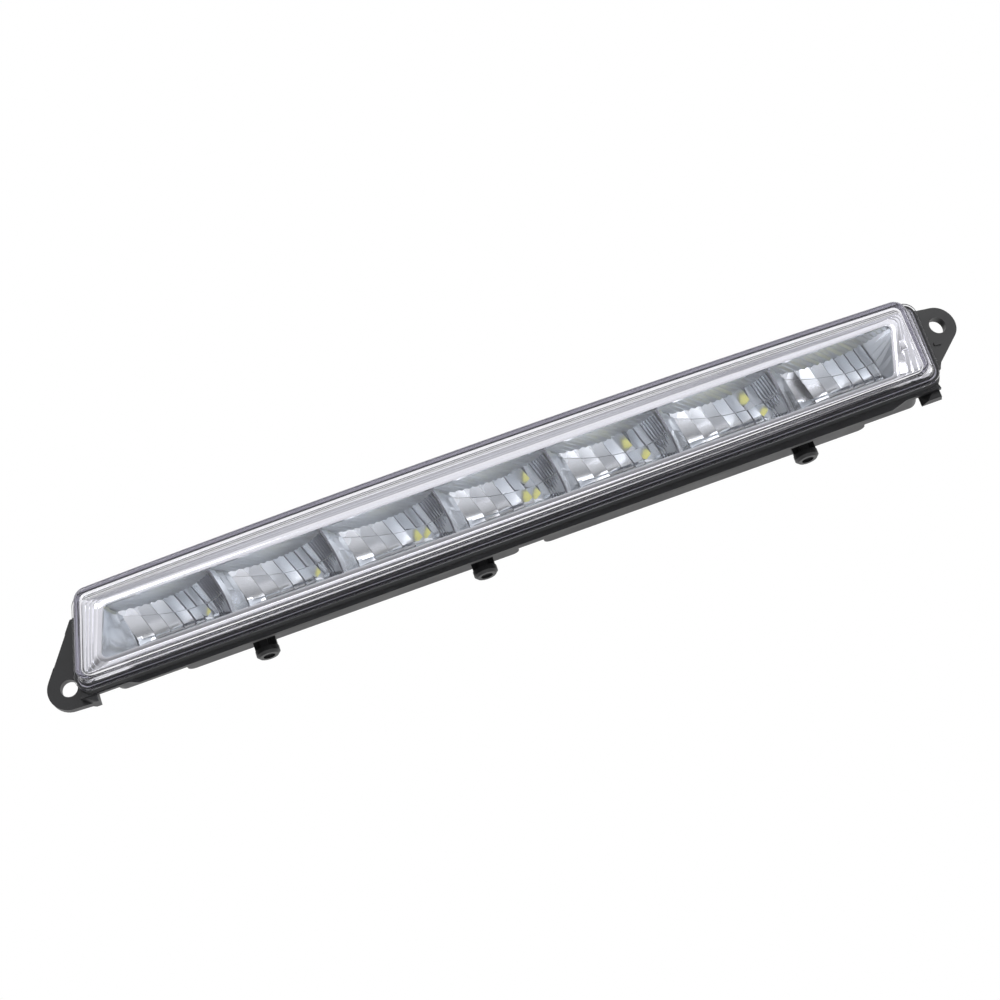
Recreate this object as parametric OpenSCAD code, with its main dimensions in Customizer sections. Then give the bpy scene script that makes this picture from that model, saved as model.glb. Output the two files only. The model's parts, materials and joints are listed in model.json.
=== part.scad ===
// Daytime running light for the corner of a car's bumper.
// X runs along the lamp, to the right as seen from the front. Y runs back into the car and Z up.
// The origin is the axis of the left ear's hole, at the rear face of that ear.
// Every outline across the lamp is drawn in X and Z and given a depth in Y.

/* [Lens] */
// Length of the lens along its lower edge
lens_len = 357.4; // [340:0.5:370]
// Height of the lens flange at its left end
lens_left_h = 39; // [37:0.5:42]
// Height of the lens flange at its right end
lens_right_h = 35.1; // [34:0.1:38]
// Lean of the left end, from upright
lens_lean = 13.5; // [8:0.5:18]
// Rise of the lower edge from left to right
lens_rise = 2.3; // [0:0.1:4]
// Outward bow of the upper edge
bow_top = 2.2; // [0:0.1:3]
// Outward bow of the lower edge
bow_low = 0.6; // [0:0.1:1]
// Radius of the lens corners
lens_r = 5.4; // [5:0.1:8]
// Depth of the lens from its seat to its front face
lens_depth = 11; // [10.5:0.1:14]
// Wall of the lens
lens_wall = 2.1; // [1.6:0.1:2.4]
// Thickness of the flange round the lens
flange_t = 1.8; // [1.2:0.1:2.5]
// Width of the flange outside the lens wall
flange_w = 1.2; // [0.8:0.1:1.8]
// Draft of the left wall, from flange to front
draft_left = 2.8; // [1:0.1:4]
// Draft of the right wall
draft_right = 4.3; // [1:0.1:5]
// Draft of the upper wall
draft_top = 1.2; // [0.5:0.1:2]
// Draft of the lower wall
draft_low = 0.6; // [0.3:0.1:1.5]

/* [Place of the lens from the left ear's hole] */
// Lower left corner of the lens, along X
lens_x = 2.4; // [1:0.1:6]
// Lower left corner of the lens, along Z
lens_z = -5.6; // [-8:0.1:-4]
// Lens seat ahead of the ears' rear face
seat_ahead = 8; // [7:0.5:10]

/* [Housing] */
// Wall of the housing
wall = 2; // [1.6:0.1:2.4]
// Depth of the rim that takes the lens
rim_t = 5; // [4.5:0.1:7]
// Depth of the housing behind the lens seat
tray_depth = 29.5; // [29.2:0.1:36]
// Depth of the two rear chambers behind the housing
chamber_out = 4.5; // [4:0.5:10]
// Underside of the housing above the lens corner
tray_rise = 6.4; // [6:0.1:7]
// Top of the housing below the upper edge of the lens
tray_drop = 0.8; // [0.4:0.1:1.2]
// Side wall of the housing in from the lens corner, at the left
tray_in_left = 10.6; // [9:0.1:11]
// Side wall of the housing in from the lens corner, at the right
tray_in_right = 7.8; // [7:0.1:8]
// Left end of the left chamber, from the housing's side
chamber_in_left = 30; // [20:1:50]
// Right end of the right chamber, from the housing's side
chamber_in_right = 23; // [15:1:30]
// Middle of the gap between the chambers, as a share of the lens length
gap_share = 0.52; // [0.48:0.01:0.53]
// Width of the gap between the chambers
gap_w = 10.6; // [8:0.2:16]
// Drop of the skirt under the lens corner
skirt_drop = 2.8; // [2.4:0.1:4.4]
// Thickness of the skirt
skirt_t = 2; // [1.5:0.1:3]

/* [Ears] */
// Thickness of the ears
ear_t = 3.5; // [2.5:0.1:4.5]
// Radius of the fixing holes
ear_hole_r = 3.5; // [2.5:0.1:4.2]
// Radius of the left ear round its hole
left_ear_r = 8.8; // [8:0.1:10]
// Radius of the right ear round its hole
right_ear_r = 7.9; // [7.2:0.1:9]
// Turn of the right ear towards the back
ear_turn = 20; // [0:1:30]
// Right hole beyond the fold of its ear
right_reach = 7; // [6.6:0.1:10]
// Height of the right hole above the left one
right_hole_z = 21.5; // [18:0.1:23]

/* [Pegs] */
// Diameter of the locating pegs
peg_d = 9.7; // [8:0.1:10]
// Lower ends of the pegs, along Z
peg_low = [-11.8, -10.9, -10.5]; // [-14:0.1:-9]
// Pegs behind the ears' rear face
peg_y = 6.5; // [5:0.1:9]
// Places of the pegs, as shares of the lens length
peg_at = [0.209, 0.4625, 0.8355]; // [0.15:0.0005:0.9]
// Width of the cross ribs of a peg
peg_rib = 2.8; // [2:0.1:3.4]
// Length of the round collar at a peg's end
peg_collar = 3; // [2.4:0.1:4]

/* [Reflector] */
// Light sources ahead of the rear face of the housing
led_ahead = 13.1; // [12.5:0.1:14]
// Height of a light source on its board
led_h = 1.6; // [1.5:0.05:1.8]
// Focal length of a cell
focal = 8.5; // [8:0.1:9.5]
// Turn of the light towards the middle of the car
aim = 20; // [16:0.5:22]
// Facets across a cell
facets = 10; // [6:1:12]
// Width of the divider between two cells, across the beam
divider_w = 2.2; // [2:0.1:3]
// Step between the upper and the lower facets
facet_step = 0.7; // [0.3:0.1:1]
// Thickness of the reflector's skin, along Y
skin = 1.8; // [1.6:0.1:2]
// Pitch of the ribs in the ceiling
rib_pitch = 2.4; // [1.8:0.1:4]
// Depth of the ribs in the ceiling
rib_h = 0.45; // [0.2:0.05:0.7]

/* [Bezel] */
// Width of the lip round the opening
lip_w = 2; // [1:0.1:2.2]
// Lower edge of the opening above the lens corner
open_rise = 7.5; // [7.2:0.1:8]
// Upper edge of the opening below the top of the housing
open_drop = 8.4; // [8.2:0.1:9]
// Lower left corner of the opening, in from the lens corner
open_in_left = 15.2; // [14:0.1:18]
// Lower right corner of the opening, in from the lens corner
open_in_right = 18.6; // [17:0.1:20]
// Lean of both ends of the opening
open_lean = 17.2; // [12:0.2:18]
// Air between the bezel's lip and the lens
lip_air = 1; // [0.6:0.1:1.5]

/* [Board and cooling] */
// Thickness of the circuit board
board_t = 1.6; // [1:0.1:1.6]
// Thickness of the thermal pad
pad_t = 0.5; // [0.3:0.1:0.6]
// Thickness of the heat sink's sheet
sink_t = 1.5; // [1:0.1:1.6]
// Room over the heat sink's rear flanges
sink_room = 2.2; // [1:0.1:10]
// Side of a light source's body
led_side = 3.5; // [3:0.1:5]
// Radius of a board screw's shank
board_screw_r = 1.2; // [1:0.05:1.3]
// Radius of a reflector screw's shank
reflector_screw_r = 1.45; // [1.3:0.05:1.6]
// Room round a screw's shank in its boss
pilot_gap = 0.05; // [0.02:0.01:0.08]
// Room round a screw's shank in the board and the reflector
screw_gap = 0.25; // [0.15:0.05:0.4]

/* [Connector and vent] */
// Width inside the connector
plug_w = 13.6; // [12:0.1:15]
// Height inside the connector
plug_h = 9.6; // [9:0.1:10.5]
// Length of the connector behind the housing
plug_out = 13; // [11:0.5:18]
// Distance between the terminals
terminal_gap = 5; // [4.5:0.1:6]

/* [Hidden] */
$fn = 48;
arc_steps = 6;
bow_steps = 10;
lower_rows = 4;
upper_rows = 3;
fit_gap = 0.2;

// Planes across the lamp, front to back
seat_y = -seat_ahead;
front_y = seat_y - lens_depth;
rim_back_y = seat_y + rim_t;
groove_d = 2.4;
groove_y = seat_y + groove_d;
tray_y = seat_y + tray_depth;
chamber_y = tray_y + chamber_out;
lip_y = front_y + lens_wall + lip_air;
lip_back_y = lip_y + 1.4;
mirror_y = lip_back_y + 0.1;
led_y = tray_y - led_ahead;

// Heights of the housing
tray_low = lens_z + tray_rise;
tray_high = lens_z + min(lens_left_h - 1.6, lens_rise + lens_right_h) - tray_drop;
chamber_high = tray_high - 2;

// Stack on the housing's floor, bottom to top
floor_z = tray_low + wall;
pad_z = floor_z + sink_t;
board_z = pad_z + pad_t;
board_top = board_z + board_t;
led_z = board_top + led_h;
shelf_z = board_top + 0.1;
shelf_t = 1;
tab_t = 1.6;

// Corners of the lens flange and of the lens front: lower left, lower right, upper right, upper left
flange_corners = [
    [lens_x, lens_z],
    [lens_x + lens_len, lens_z + lens_rise],
    [lens_x + lens_len + 0.4, lens_z + lens_rise + lens_right_h],
    [lens_x + lens_left_h * tan(lens_lean), lens_z + lens_left_h]
];
front_corners = [
    flange_corners[0] + [draft_left, draft_low],
    flange_corners[1] + [-draft_right, draft_low],
    flange_corners[2] + [-draft_right - 0.4, -draft_top],
    flange_corners[3] + [draft_left, -draft_top]
];
// The housing's rim follows the flange and slopes out under it
slope = 1.9;
rim_drop = 1.2;
rim_corners = [
    flange_corners[0] - [0, rim_drop],
    flange_corners[1] - [0, rim_drop],
    flange_corners[2],
    flange_corners[3]
];

// Side walls and corners of the housing behind its rim
tray_left = lens_x + tray_in_left;
tray_right = lens_x + lens_len - tray_in_right;
tray_r = 4;
tray_corners = [
    [tray_left, tray_low],
    [tray_right, tray_low],
    [tray_right, tray_high],
    [tray_left + (tray_high - tray_low) * tan(lens_lean), tray_high]
];
chamber_left = tray_left + chamber_in_left;
chamber_right = tray_right - chamber_in_right;
chamber_r = 3;
gap_at = lens_x + lens_len * gap_share;
peg_x = [for (share = peg_at) lens_x + lens_len * share];

// Opening of the bezel
open_low = lens_z + open_rise;
open_high = tray_high - open_drop;
open_left = lens_x + open_in_left;
open_right = lens_x + lens_len - open_in_right;
open_shift = (open_high - open_low) * tan(open_lean);
open_corners = [
    [open_left, open_low],
    [open_right, open_low],
    [open_right + open_shift, open_high],
    [open_left + open_shift, open_high]
];
open_r = 2;

// Plan of a reflector cell: half its width across the beam, and the ends of the divider's front edge
cells = 7;
cell_pitch = (open_right - open_left - 0.2) / cells;
led_x = open_left + cell_pitch * 8 / 11;
cell_half = cell_pitch * cos(aim) / 2;
divider_low_y = seat_y + 3.2;
divider_high_y = seat_y - 4.6;
ceiling_z = open_high;
ceiling_rise = 0.14;
ceiling_t = 1.4;
step_z = ceiling_z - 3;
step_fall = 4;
shelf_y = mirror_y + 15.5;
shelf_flat_y = mirror_y + (shelf_z + shelf_t - open_low - 0.1) / 0.387;
skin_right = tray_right - wall - 1.1;
skin_back = tray_y - wall - 0.3;

// Board, heat sink and what stands on the board
board_x0 = tray_left + 14;
board_x1 = tray_right - 11;
board_y0 = shelf_y + 1.8;
board_y1 = tray_y - wall - 0.3;
sink_y0 = seat_y + 6;
sink_y1 = tray_y - wall - 0.1;
sink_flange_y = chamber_y - wall - 3;
sink_h = chamber_high - wall - floor_z - sink_room;
pocket_y = board_y1 - 3.6;
pocket_x = cell_pitch * 0.338;
board_screw_x = [for (i = [0, 2, 4]) cell_x(i) + pocket_x];
boss_left = [tray_left + 7, led_y - 3.4];
boss_right = [tray_right - 7, led_y + 5.6];

// Connector, over the pocket behind the sixth cell, and vent
plug_x = cell_x(5) + cell_pitch * 0.407;
plug_z = (floor_z + chamber_high - wall) / 2;
vent_x = (chamber_left + gap_at) / 2 - 3;
vent_z = (floor_z + chamber_high - wall) / 2 + 1;
plug_wall = 1.6;
plug_inner_y = chamber_y - wall;
plug_flange = 2;
plug_back_y = chamber_y + plug_out;
plug_floor_y = chamber_y + 1;
terminal_y = board_y1 - 2;
terminal_tip_y = plug_floor_y + 7;

// Outlines

function unit(v) = v / norm(v);
function blend(a, b, t) = a + (b - a) * t;

// Corner p between its neighbours a and b, moved outwards by g
function moved_corner(a, p, b, g) =
    let (u = unit(a - p), v = unit(b - p), half = acos(u * v) / 2)
    p - unit(u + v) * g / sin(half);

// Arc of radius r in corner p, from the side of a to the side of b
function corner_arc(a, p, b, r) =
    let (
        u = unit(a - p),
        v = unit(b - p),
        half = acos(u * v) / 2,
        centre = p + unit(u + v) * r / sin(half),
        start = p + u * r / tan(half) - centre,
        from = atan2(start[1], start[0])
    )
    [for (i = [0:arc_steps]) let (t = from + (180 - 2 * half) * i / arc_steps)
        centre + r * [cos(t), sin(t)]];

// Points between p and q, bowed outwards by h
function bowed(p, q, h) =
    let (d = unit(q - p), out = [d[1], -d[0]])
    [for (i = [1:bow_steps - 1]) let (t = i / bow_steps)
        p + (q - p) * t + out * h * 4 * t * (1 - t)];

// Rounded outline through four corners, grown outwards by g
function outline(corners, r, g = 0, low = 0, high = 0) =
    let (
        c = [for (i = [0:3])
            moved_corner(corners[(i + 3) % 4], corners[i], corners[(i + 1) % 4], g)],
        a = [for (i = [0:3])
            corner_arc(c[(i + 3) % 4], c[i], c[(i + 1) % 4], max(r + g, 0.4))]
    )
    concat(
        a[0], bowed(a[0][arc_steps], a[1][0], low),
        a[1], a[2], bowed(a[2][arc_steps], a[3][0], high),
        a[3]
    );

// Outline of the lens at a share t of the way from flange to front, grown by g
function lens_outline(t, g) =
    outline(
        [for (i = [0:3]) blend(flange_corners[i], front_corners[i], t)],
        lens_r, g, bow_low, bow_top
    );
function rim_outline(g) = outline(rim_corners, lens_r, g, bow_low, bow_top);
function tray_outline(g) = outline(tray_corners, tray_r, g);
function open_outline(g) = outline(open_corners, open_r, g);

function ring(points, y) = [for (p = points) [p[0], y, p[1]]];

// Solid between two planes across the lamp
module slab(y0, y1) {
    translate([0, y1, 0])
        rotate([90, 0, 0])
            linear_extrude(y1 - y0)
                children();
}

// Ring of material between two outlines
module frame_slab(y0, y1, outer, inner) {
    slab(y0, y1)
        difference() {
            polygon(outer);
            polygon(inner);
        }
}

// Solid through rings of equal count, front to back
module loft(rings) {
    n = len(rings[0]);
    last = len(rings) - 1;
    points = [for (r = rings) each r];
    sides = [for (k = [0:last - 1], i = [0:n - 1])
        let (
            a = k * n + i,
            b = k * n + (i + 1) % n,
            c = b + n,
            d = a + n
        )
        each [[a, b, c], [a, c, d]]];
    caps = [
        [for (i = [0:n - 1]) n - 1 - i],
        [for (i = [0:n - 1]) last * n + i]
    ];
    polyhedron(points, concat(sides, caps), convexity = 6);
}

// Lens

module outer_lens() {
    wall_g = -flange_w;
    step_y = seat_y - flange_t;
    share = flange_t / lens_depth;
    edge_r = 2;
    color("white", 0.4) {
        difference() {
            loft([
                ring(lens_outline(1, -14), front_y - 0.35),
                ring(lens_outline(1, -7), front_y - 0.22),
                ring(lens_outline(1, -edge_r), front_y),
                ring(lens_outline(1, -0.9), front_y + 0.4),
                ring(lens_outline(1, -0.25), front_y + 1.1),
                ring(lens_outline(1, 0), front_y + edge_r),
                ring(lens_outline(share, wall_g), step_y),
                ring(lens_outline(0, 0), step_y),
                ring(lens_outline(0, 0), seat_y)
            ]);
            loft([
                ring(lens_outline(1, -lens_wall - edge_r), front_y + lens_wall),
                ring(lens_outline(1, -lens_wall - 0.6), front_y + lens_wall + 0.5),
                ring(lens_outline(1, -lens_wall), front_y + lens_wall + edge_r),
                ring(lens_outline(share, wall_g - lens_wall), step_y),
                ring(lens_outline(0, wall_g - lens_wall), seat_y),
                ring(lens_outline(0, wall_g - lens_wall), seat_y + 1)
            ]);
        }
        // Tongue that stands in the groove of the housing
        frame_slab(
            seat_y - 0.5, groove_y - 0.8,
            lens_outline(0, -flange_w - fit_gap),
            lens_outline(0, -flange_w - lens_wall + fit_gap)
        );
    }
}

// Bead of adhesive on the floor of the groove
module lens_seal() {
    color("dimgray")
        frame_slab(
            groove_y - 0.8, groove_y,
            lens_outline(0, -flange_w - 0.05),
            lens_outline(0, -flange_w - lens_wall + 0.05)
        );
}

// Housing

// Rim that takes the lens, with the slope down to the skirt
module housing_rim() {
    loft([
        ring(lens_outline(0, -0.4), seat_y),
        ring(rim_outline(-0.4), seat_y + slope),
        ring(rim_outline(-0.4), rim_back_y)
    ]);
}

// Skirt below the rim, shallower at both ends
module skirt() {
    left_z = lens_z - skirt_drop + 1.6;
    right_z = lens_z + lens_rise - skirt_drop + 1.6;
    right_x = lens_x + lens_len;
    slab(seat_y + slope, seat_y + slope + skirt_t)
        polygon([
            [lens_x + 4, lens_z + 3],
            [lens_x + 1, left_z],
            [lens_x + 21.1, left_z],
            [lens_x + 24.8, left_z - 1.6],
            [right_x - 22.6, right_z - 3],
            [right_x - 16, right_z - 0.95],
            [right_x - 1.8, right_z - 0.95],
            [right_x - 3, lens_z + lens_rise + 3]
        ]);
}

// Chamber behind the main box, with round rear corners in plan
module chamber(x0, x1, z0, z1, back, r) {
    translate([0, 0, z0])
        linear_extrude(z1 - z0)
            union() {
                translate([x0, led_y])
                    square([x1 - x0, back - r - led_y]);
                translate([x0 + r, led_y])
                    square([x1 - x0 - 2 * r, back - led_y]);
                for (x = [x0 + r, x1 - r])
                    translate([x, back - r])
                        circle(r);
            }
}

// Left ear: a round boss with a web up to the lens corner
module left_ear() {
    r = left_ear_r;
    line = [0.559, 0.829];
    side = [-line[1], line[0]] * r;
    top = lens_z + lens_left_h - 6.5;
    low = lens_z - skirt_drop - 0.9;
    foot_x = lens_x + 7.8;
    slab(-ear_t, 0) {
        circle(r);
        polygon([
            side,
            side + line * (top - side[1]) / line[1],
            [tray_left + 9, top],
            [tray_left + 9, lens_z + 1],
            [foot_x, lens_z + 1],
            [foot_x, low],
            [0, min(low + 0.5, -r)]
        ]);
    }
}

// Right ear in its own plane, with U along the plate from the fold
module right_ear() {
    r = right_ear_r;
    hole = [right_reach, right_hole_z];
    line = [-0.722, -0.692];
    side = hole + [-line[1], line[0]] * r;
    run = (side[0] - 2) / -line[0];
    right_fold()
        slab(-ear_t, 0) {
            translate(hole)
                circle(r);
            polygon([
                hole + [0, r],
                [-8, hole[1] + r],
                [-8, 3],
                [0.6, 3],
                [1.1, side[1] + line[1] * run - 1.6],
                side + line * run,
                side
            ]);
        }
}

// Places its children in the plane of the right ear
module right_fold() {
    translate([lens_x + lens_len - 0.3, 0, 0])
        rotate([0, 0, ear_turn])
            children();
}

// Feet below the ends of the skirt, each from a small front outline to a larger rear one
module foot(y0, y1, front, rear) {
    hull() {
        slab(y0, y0 + 0.2)
            polygon(front);
        slab(y1 - 0.2, y1)
            polygon(rear);
    }
}

module left_foot() {
    top = lens_z - skirt_drop + 1.6;
    low = top - 3;
    x = lens_x + 7.8;
    foot(
        seat_y + slope + 0.3, 0,
        [[x, top + 1], [x, low], [x - 0.8, low], [x - 5.2, top], [x - 5.2, top + 1]],
        [[x, top + 1], [x, low], [x - 2.2, low], [x - 8.6, top], [x - 8.6, top + 1]]
    );
}

module right_foot() {
    top = lens_z + lens_rise - skirt_drop + 0.65;
    low = top - 2.85;
    x = lens_x + lens_len - 2.6;
    foot(
        seat_y + slope + skirt_t - 0.3, seat_y + slope + skirt_t + 3.1,
        [[x, top + 2], [x, low], [x - 5.6, low], [x - 1, top + 2]],
        [[x, top + 2], [x, low], [x - 8.2, low], [x - 8.2, top + 2]]
    );
}

// Locating peg: a core with flat-ended cross ribs, and a round collar a little wider than the ribs
module peg(x, low) {
    r = peg_d / 2;
    rib_r = r - 0.35;
    chamfer = 1;
    translate([x, peg_y, 0]) {
        translate([0, 0, low + 1])
            cylinder(r = r * 0.55, h = floor_z - low - 1.2);
        translate([-peg_rib / 2, -rib_r, low + 1])
            cube([peg_rib, 2 * rib_r, floor_z - low - 1.2]);
        translate([-rib_r, -peg_rib / 2, low + 1])
            cube([2 * rib_r, peg_rib, floor_z - low - 1.2]);
        difference() {
            translate([0, 0, low])
                rotate_extrude()
                    polygon([
                        [0, 0], [r - chamfer, 0], [r, chamfer], [r, peg_collar], [0, peg_collar]
                    ]);
            translate([0, 0, low - 1])
                cylinder(r = r * 0.5, h = 2.2);
        }
    }
}

// Boss on the floor with a blind pilot hole
module boss(at, top, r) {
    translate([at[0], at[1], floor_z - 0.4])
        cylinder(r = r, h = top - floor_z + 0.4);
}

module boss_hole(at, r) {
    translate([at[0], at[1], tray_low + 1])
        cylinder(r = r, h = 20);
}

// Stiffening ribs down the back of the chambers
module back_ribs() {
    for (x = [chamber_left + 18, chamber_left + 42, gap_at - 48, gap_at - 24, gap_at + 24, gap_at + 52])
        translate([x, chamber_y - 0.5, floor_z])
            cube([1.6, 1.9, chamber_high - floor_z - 2]);
}

module vent_collar() {
    translate([vent_x, chamber_y - 0.5, vent_z])
        rotate([-90, 0, 0])
            cylinder(r = 4.5, h = 2.5);
}

module housing_solid() {
    housing_rim();
    slab(rim_back_y - 1, tray_y)
        polygon(tray_outline(0));
    chamber(chamber_left, gap_at - gap_w / 2, tray_low, chamber_high, chamber_y, chamber_r);
    chamber(gap_at + gap_w / 2, chamber_right, tray_low, chamber_high, chamber_y, chamber_r);
    skirt();
    left_ear();
    right_ear();
    left_foot();
    right_foot();
    for (k = [0:len(peg_x) - 1])
        peg(peg_x[k], peg_low[k]);
    back_ribs();
    vent_collar();
}

module housing_hollow() {
    // Space behind the lens, then the narrower space behind the shoulder
    slab(seat_y - 1, groove_y)
        polygon(lens_outline(0, -5));
    slab(groove_y - 1, tray_y - wall)
        polygon(tray_outline(-wall));
    chamber(
        chamber_left + wall, gap_at - gap_w / 2 - wall,
        floor_z, chamber_high - wall, chamber_y - wall, chamber_r - 1
    );
    chamber(
        gap_at + gap_w / 2 + wall, chamber_right - wall,
        floor_z, chamber_high - wall, chamber_y - wall, chamber_r - 1
    );
    // Groove for the tongue of the lens
    frame_slab(
        seat_y - 1, groove_y,
        lens_outline(0, -flange_w),
        lens_outline(0, -flange_w - lens_wall)
    );
    // Fixing holes
    slab(-ear_t - 1, 1)
        circle(ear_hole_r);
    right_fold()
        slab(-ear_t - 1, 1)
            translate([right_reach, right_hole_z])
                circle(ear_hole_r);
    // Web of the left ear, set back outside its boss
    slab(-ear_t - 1, -ear_t + 0.6)
        difference() {
            translate([-left_ear_r, left_ear_r])
                square([tray_left, lens_left_h]);
            circle(left_ear_r + 2);
        }
    // Holes in the back wall for the connector and the vent
    slab(chamber_y - wall - 1, chamber_y + 1)
        translate([plug_x, plug_z])
            square([plug_w + 2 * plug_wall + 0.3, plug_h + 2 * plug_wall + 0.3], center = true);
    slab(chamber_y - wall - 1, chamber_y + 3)
        translate([vent_x, vent_z])
            circle(2.5);
}

module housing() {
    color([0.13, 0.13, 0.14])
        difference() {
            union() {
                difference() {
                    housing_solid();
                    housing_hollow();
                }
                for (x = board_screw_x)
                    boss([x, pocket_y], board_z, 2.6);
                boss(boss_left, shelf_z, 3);
                boss(boss_right, shelf_z, 3);
                right_fold()
                    translate([2, -ear_t - 0.5, right_hole_z - 8.4])
                        cube([3, 1.5, 1.2]);
            }
            for (x = board_screw_x)
                boss_hole([x, pocket_y], board_screw_r + pilot_gap);
            boss_hole(boss_left, reflector_screw_r + pilot_gap);
            boss_hole(boss_right, reflector_screw_r + pilot_gap);
        }
}

// Bezel: a frame that slopes from the lens wall to a lip round the slanted opening
module bezel() {
    foot_g = -flange_w - lens_wall - 0.3;
    inner_g = foot_g - 1.4;
    wall_y = seat_y - 3;
    share = 3 / lens_depth;
    color("silver")
        union() {
            difference() {
                loft([
                    ring(open_outline(lip_w), lip_y),
                    ring(open_outline(lip_w + 0.3), lip_y + 0.6),
                    ring(lens_outline(share, foot_g), wall_y),
                    ring(lens_outline(0, foot_g), seat_y)
                ]);
                loft([
                    ring(open_outline(lip_w - 0.3), lip_back_y),
                    ring(lens_outline(share, inner_g), wall_y + 0.8),
                    ring(lens_outline(0, inner_g), seat_y + 1)
                ]);
                slab(lip_y - 1, lip_back_y + 1)
                    polygon(open_outline(0));
            }
            // Clip at the right end
            translate([open_right + 7, lip_y + 1.1, open_low + 9])
                cube([2.6, 1.7, 4.4]);
        }
}

// Reflector

function cell_x(i) = led_x + i * cell_pitch;

// Point of cell i at distance s across the beam and t along it, at height z
function beam_point(i, s, t, z) = [
    cell_x(i) + s * cos(aim) + t * sin(aim),
    led_y - s * sin(aim) + t * cos(aim),
    z
];

// Borders of the facets, closer together towards the right
function facet_s(j) = -cell_half + (2 * cell_half - divider_w) * (1 - pow(1 - j / facets, 1.3));

// Depth of the paraboloid along the beam
function dish(s, z) = focal - (s * s + pow(z - led_z, 2)) / (4 * focal);

function ceiling_at(y) = ceiling_z + ceiling_rise * (y - mirror_y);
function shelf_at(y) = min(shelf_z + shelf_t, open_low + 0.1 + 0.387 * (y - mirror_y));

// Heights of a column of points from the shelf to the ceiling, in two rows of facets.
// The last lower point and the first upper one share their height: that is the step between them.
function column_z(low, middle, high) = concat(
    [for (k = [0:lower_rows]) blend(low, middle, k / lower_rows)],
    [for (k = [0:upper_rows]) blend(middle, high, k / upper_rows)]
);
function step_of(k) = k > lower_rows ? facet_step : 0;

// Border j of the facets of cell i
function facet_column(i, j) =
    let (
        s = facet_s(j),
        low = shelf_at(beam_point(i, s, dish(s, led_z), 0)[1]) - 0.5,
        back = beam_point(i, s, dish(s, ceiling_z + 3), 0)[1],
        z = column_z(low, step_z - step_fall * s / cell_half, ceiling_at(back) + 0.7)
    )
    [for (k = [0:len(z) - 1]) beam_point(i, s, dish(s, z[k]) - step_of(k), z[k])];

// Front edge of the divider to the right of cell i: it falls back towards the bottom
function divider_column(i) =
    let (
        z = column_z(shelf_at(divider_low_y) - 0.5, step_z - step_fall, ceiling_at(divider_high_y) + 0.7),
        rows = len(z) - 1
    )
    [for (k = [0:rows])
        let (
            share = (z[k] - z[0]) / (z[rows] - z[0]),
            y = divider_low_y + (divider_high_y - divider_low_y) * share * share,
            t = (y - led_y + cell_half * sin(aim)) / cos(aim)
        )
        beam_point(i, cell_half, t, z[k] + (k > lower_rows ? 0.1 : 0))];

// Plain end of the reflector, at x on the shelf and leaning by lean
function end_column(x, lean, y) =
    let (z = column_z(open_low - 0.3, step_z, ceiling_z + 0.4))
    [for (k = [0:len(z) - 1])
        [x + (z[k] - open_low) * tan(lean), y, z[k] + (k > lower_rows ? 0.1 : 0)]];

// The last cell ends early, with a plain land up to the right end
function last_facet(i) = i < cells - 1 ? facets : round(facets * 0.7);

reflector_columns = concat(
    [end_column(open_left - 0.3, open_lean, mirror_y)],
    [for (i = [0:cells - 1]) each concat(
        [for (j = [0:last_facet(i)]) facet_column(i, j)],
        i < cells - 1 ? [divider_column(i)] : []
    )],
    [end_column(skin_right, 0, mirror_y + 3)]
);

// Skin through columns of points, with its back moved along Y
module reflector_skin(columns) {
    rows = len(columns[0]);
    m = len(columns);
    points = concat(
        [for (c = columns) each c],
        [for (c = columns) each [for (p = c) p + [0, skin, 0]]]
    );
    back = m * rows;
    front_faces = [for (j = [0:m - 2], k = [0:rows - 2])
        let (a = j * rows + k, b = a + 1, c = a + rows + 1, d = a + rows)
        each [[a, b, c], [a, c, d]]];
    rear_faces = [for (j = [0:m - 2], k = [0:rows - 2])
        let (a = back + j * rows + k, b = a + 1, c = a + rows + 1, d = a + rows)
        each [[a, c, b], [a, d, c]]];
    low_faces = [for (j = [0:m - 2])
        let (a = j * rows, b = a + rows)
        each [[a, b, b + back], [a, b + back, a + back]]];
    high_faces = [for (j = [0:m - 2])
        let (a = j * rows + rows - 1, b = a + rows)
        each [[a, a + back, b + back], [a, b + back, b]]];
    left_faces = [for (k = [0:rows - 2])
        each [[k + back, k + 1 + back, k + 1], [k + back, k + 1, k]]];
    last = (m - 1) * rows;
    right_faces = [for (k = [0:rows - 2])
        let (a = last + k)
        each [[a, a + 1, a + 1 + back], [a, a + 1 + back, a + back]]];
    polyhedron(
        points,
        concat(front_faces, rear_faces, low_faces, high_faces, left_faces, right_faces),
        convexity = 10
    );
}

// Ceiling over the cells, ribbed along the beam on its lower side
module reflector_ceiling() {
    x0 = open_left + open_shift - 0.8;
    teeth = ceil((skin_right - x0 + 60) / rib_pitch);
    start = x0 - 30;
    intersection() {
        translate([0, 0, ceiling_z - 2])
            linear_extrude(12)
                polygon([
                    [x0, mirror_y + 2.6],
                    [x0 + 2.8, mirror_y],
                    [skin_right - 3.6, mirror_y],
                    [skin_right, mirror_y + 2.6],
                    [skin_right, skin_back],
                    [x0, skin_back]
                ]);
        translate([0, mirror_y, ceiling_z])
            rotate([atan(ceiling_rise), 0, 0])
                rotate([0, 0, -aim])
                    slab(-0.4 * lens_len, 0.5 * lens_len)
                        polygon(concat(
                            [for (i = [0:teeth]) each [
                                [start + i * rib_pitch, rib_h],
                                [start + (i + 0.5) * rib_pitch, 0]
                            ]],
                            [[start + (teeth + 1) * rib_pitch, ceiling_t], [start, ceiling_t]]
                        ));
    }
}

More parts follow.
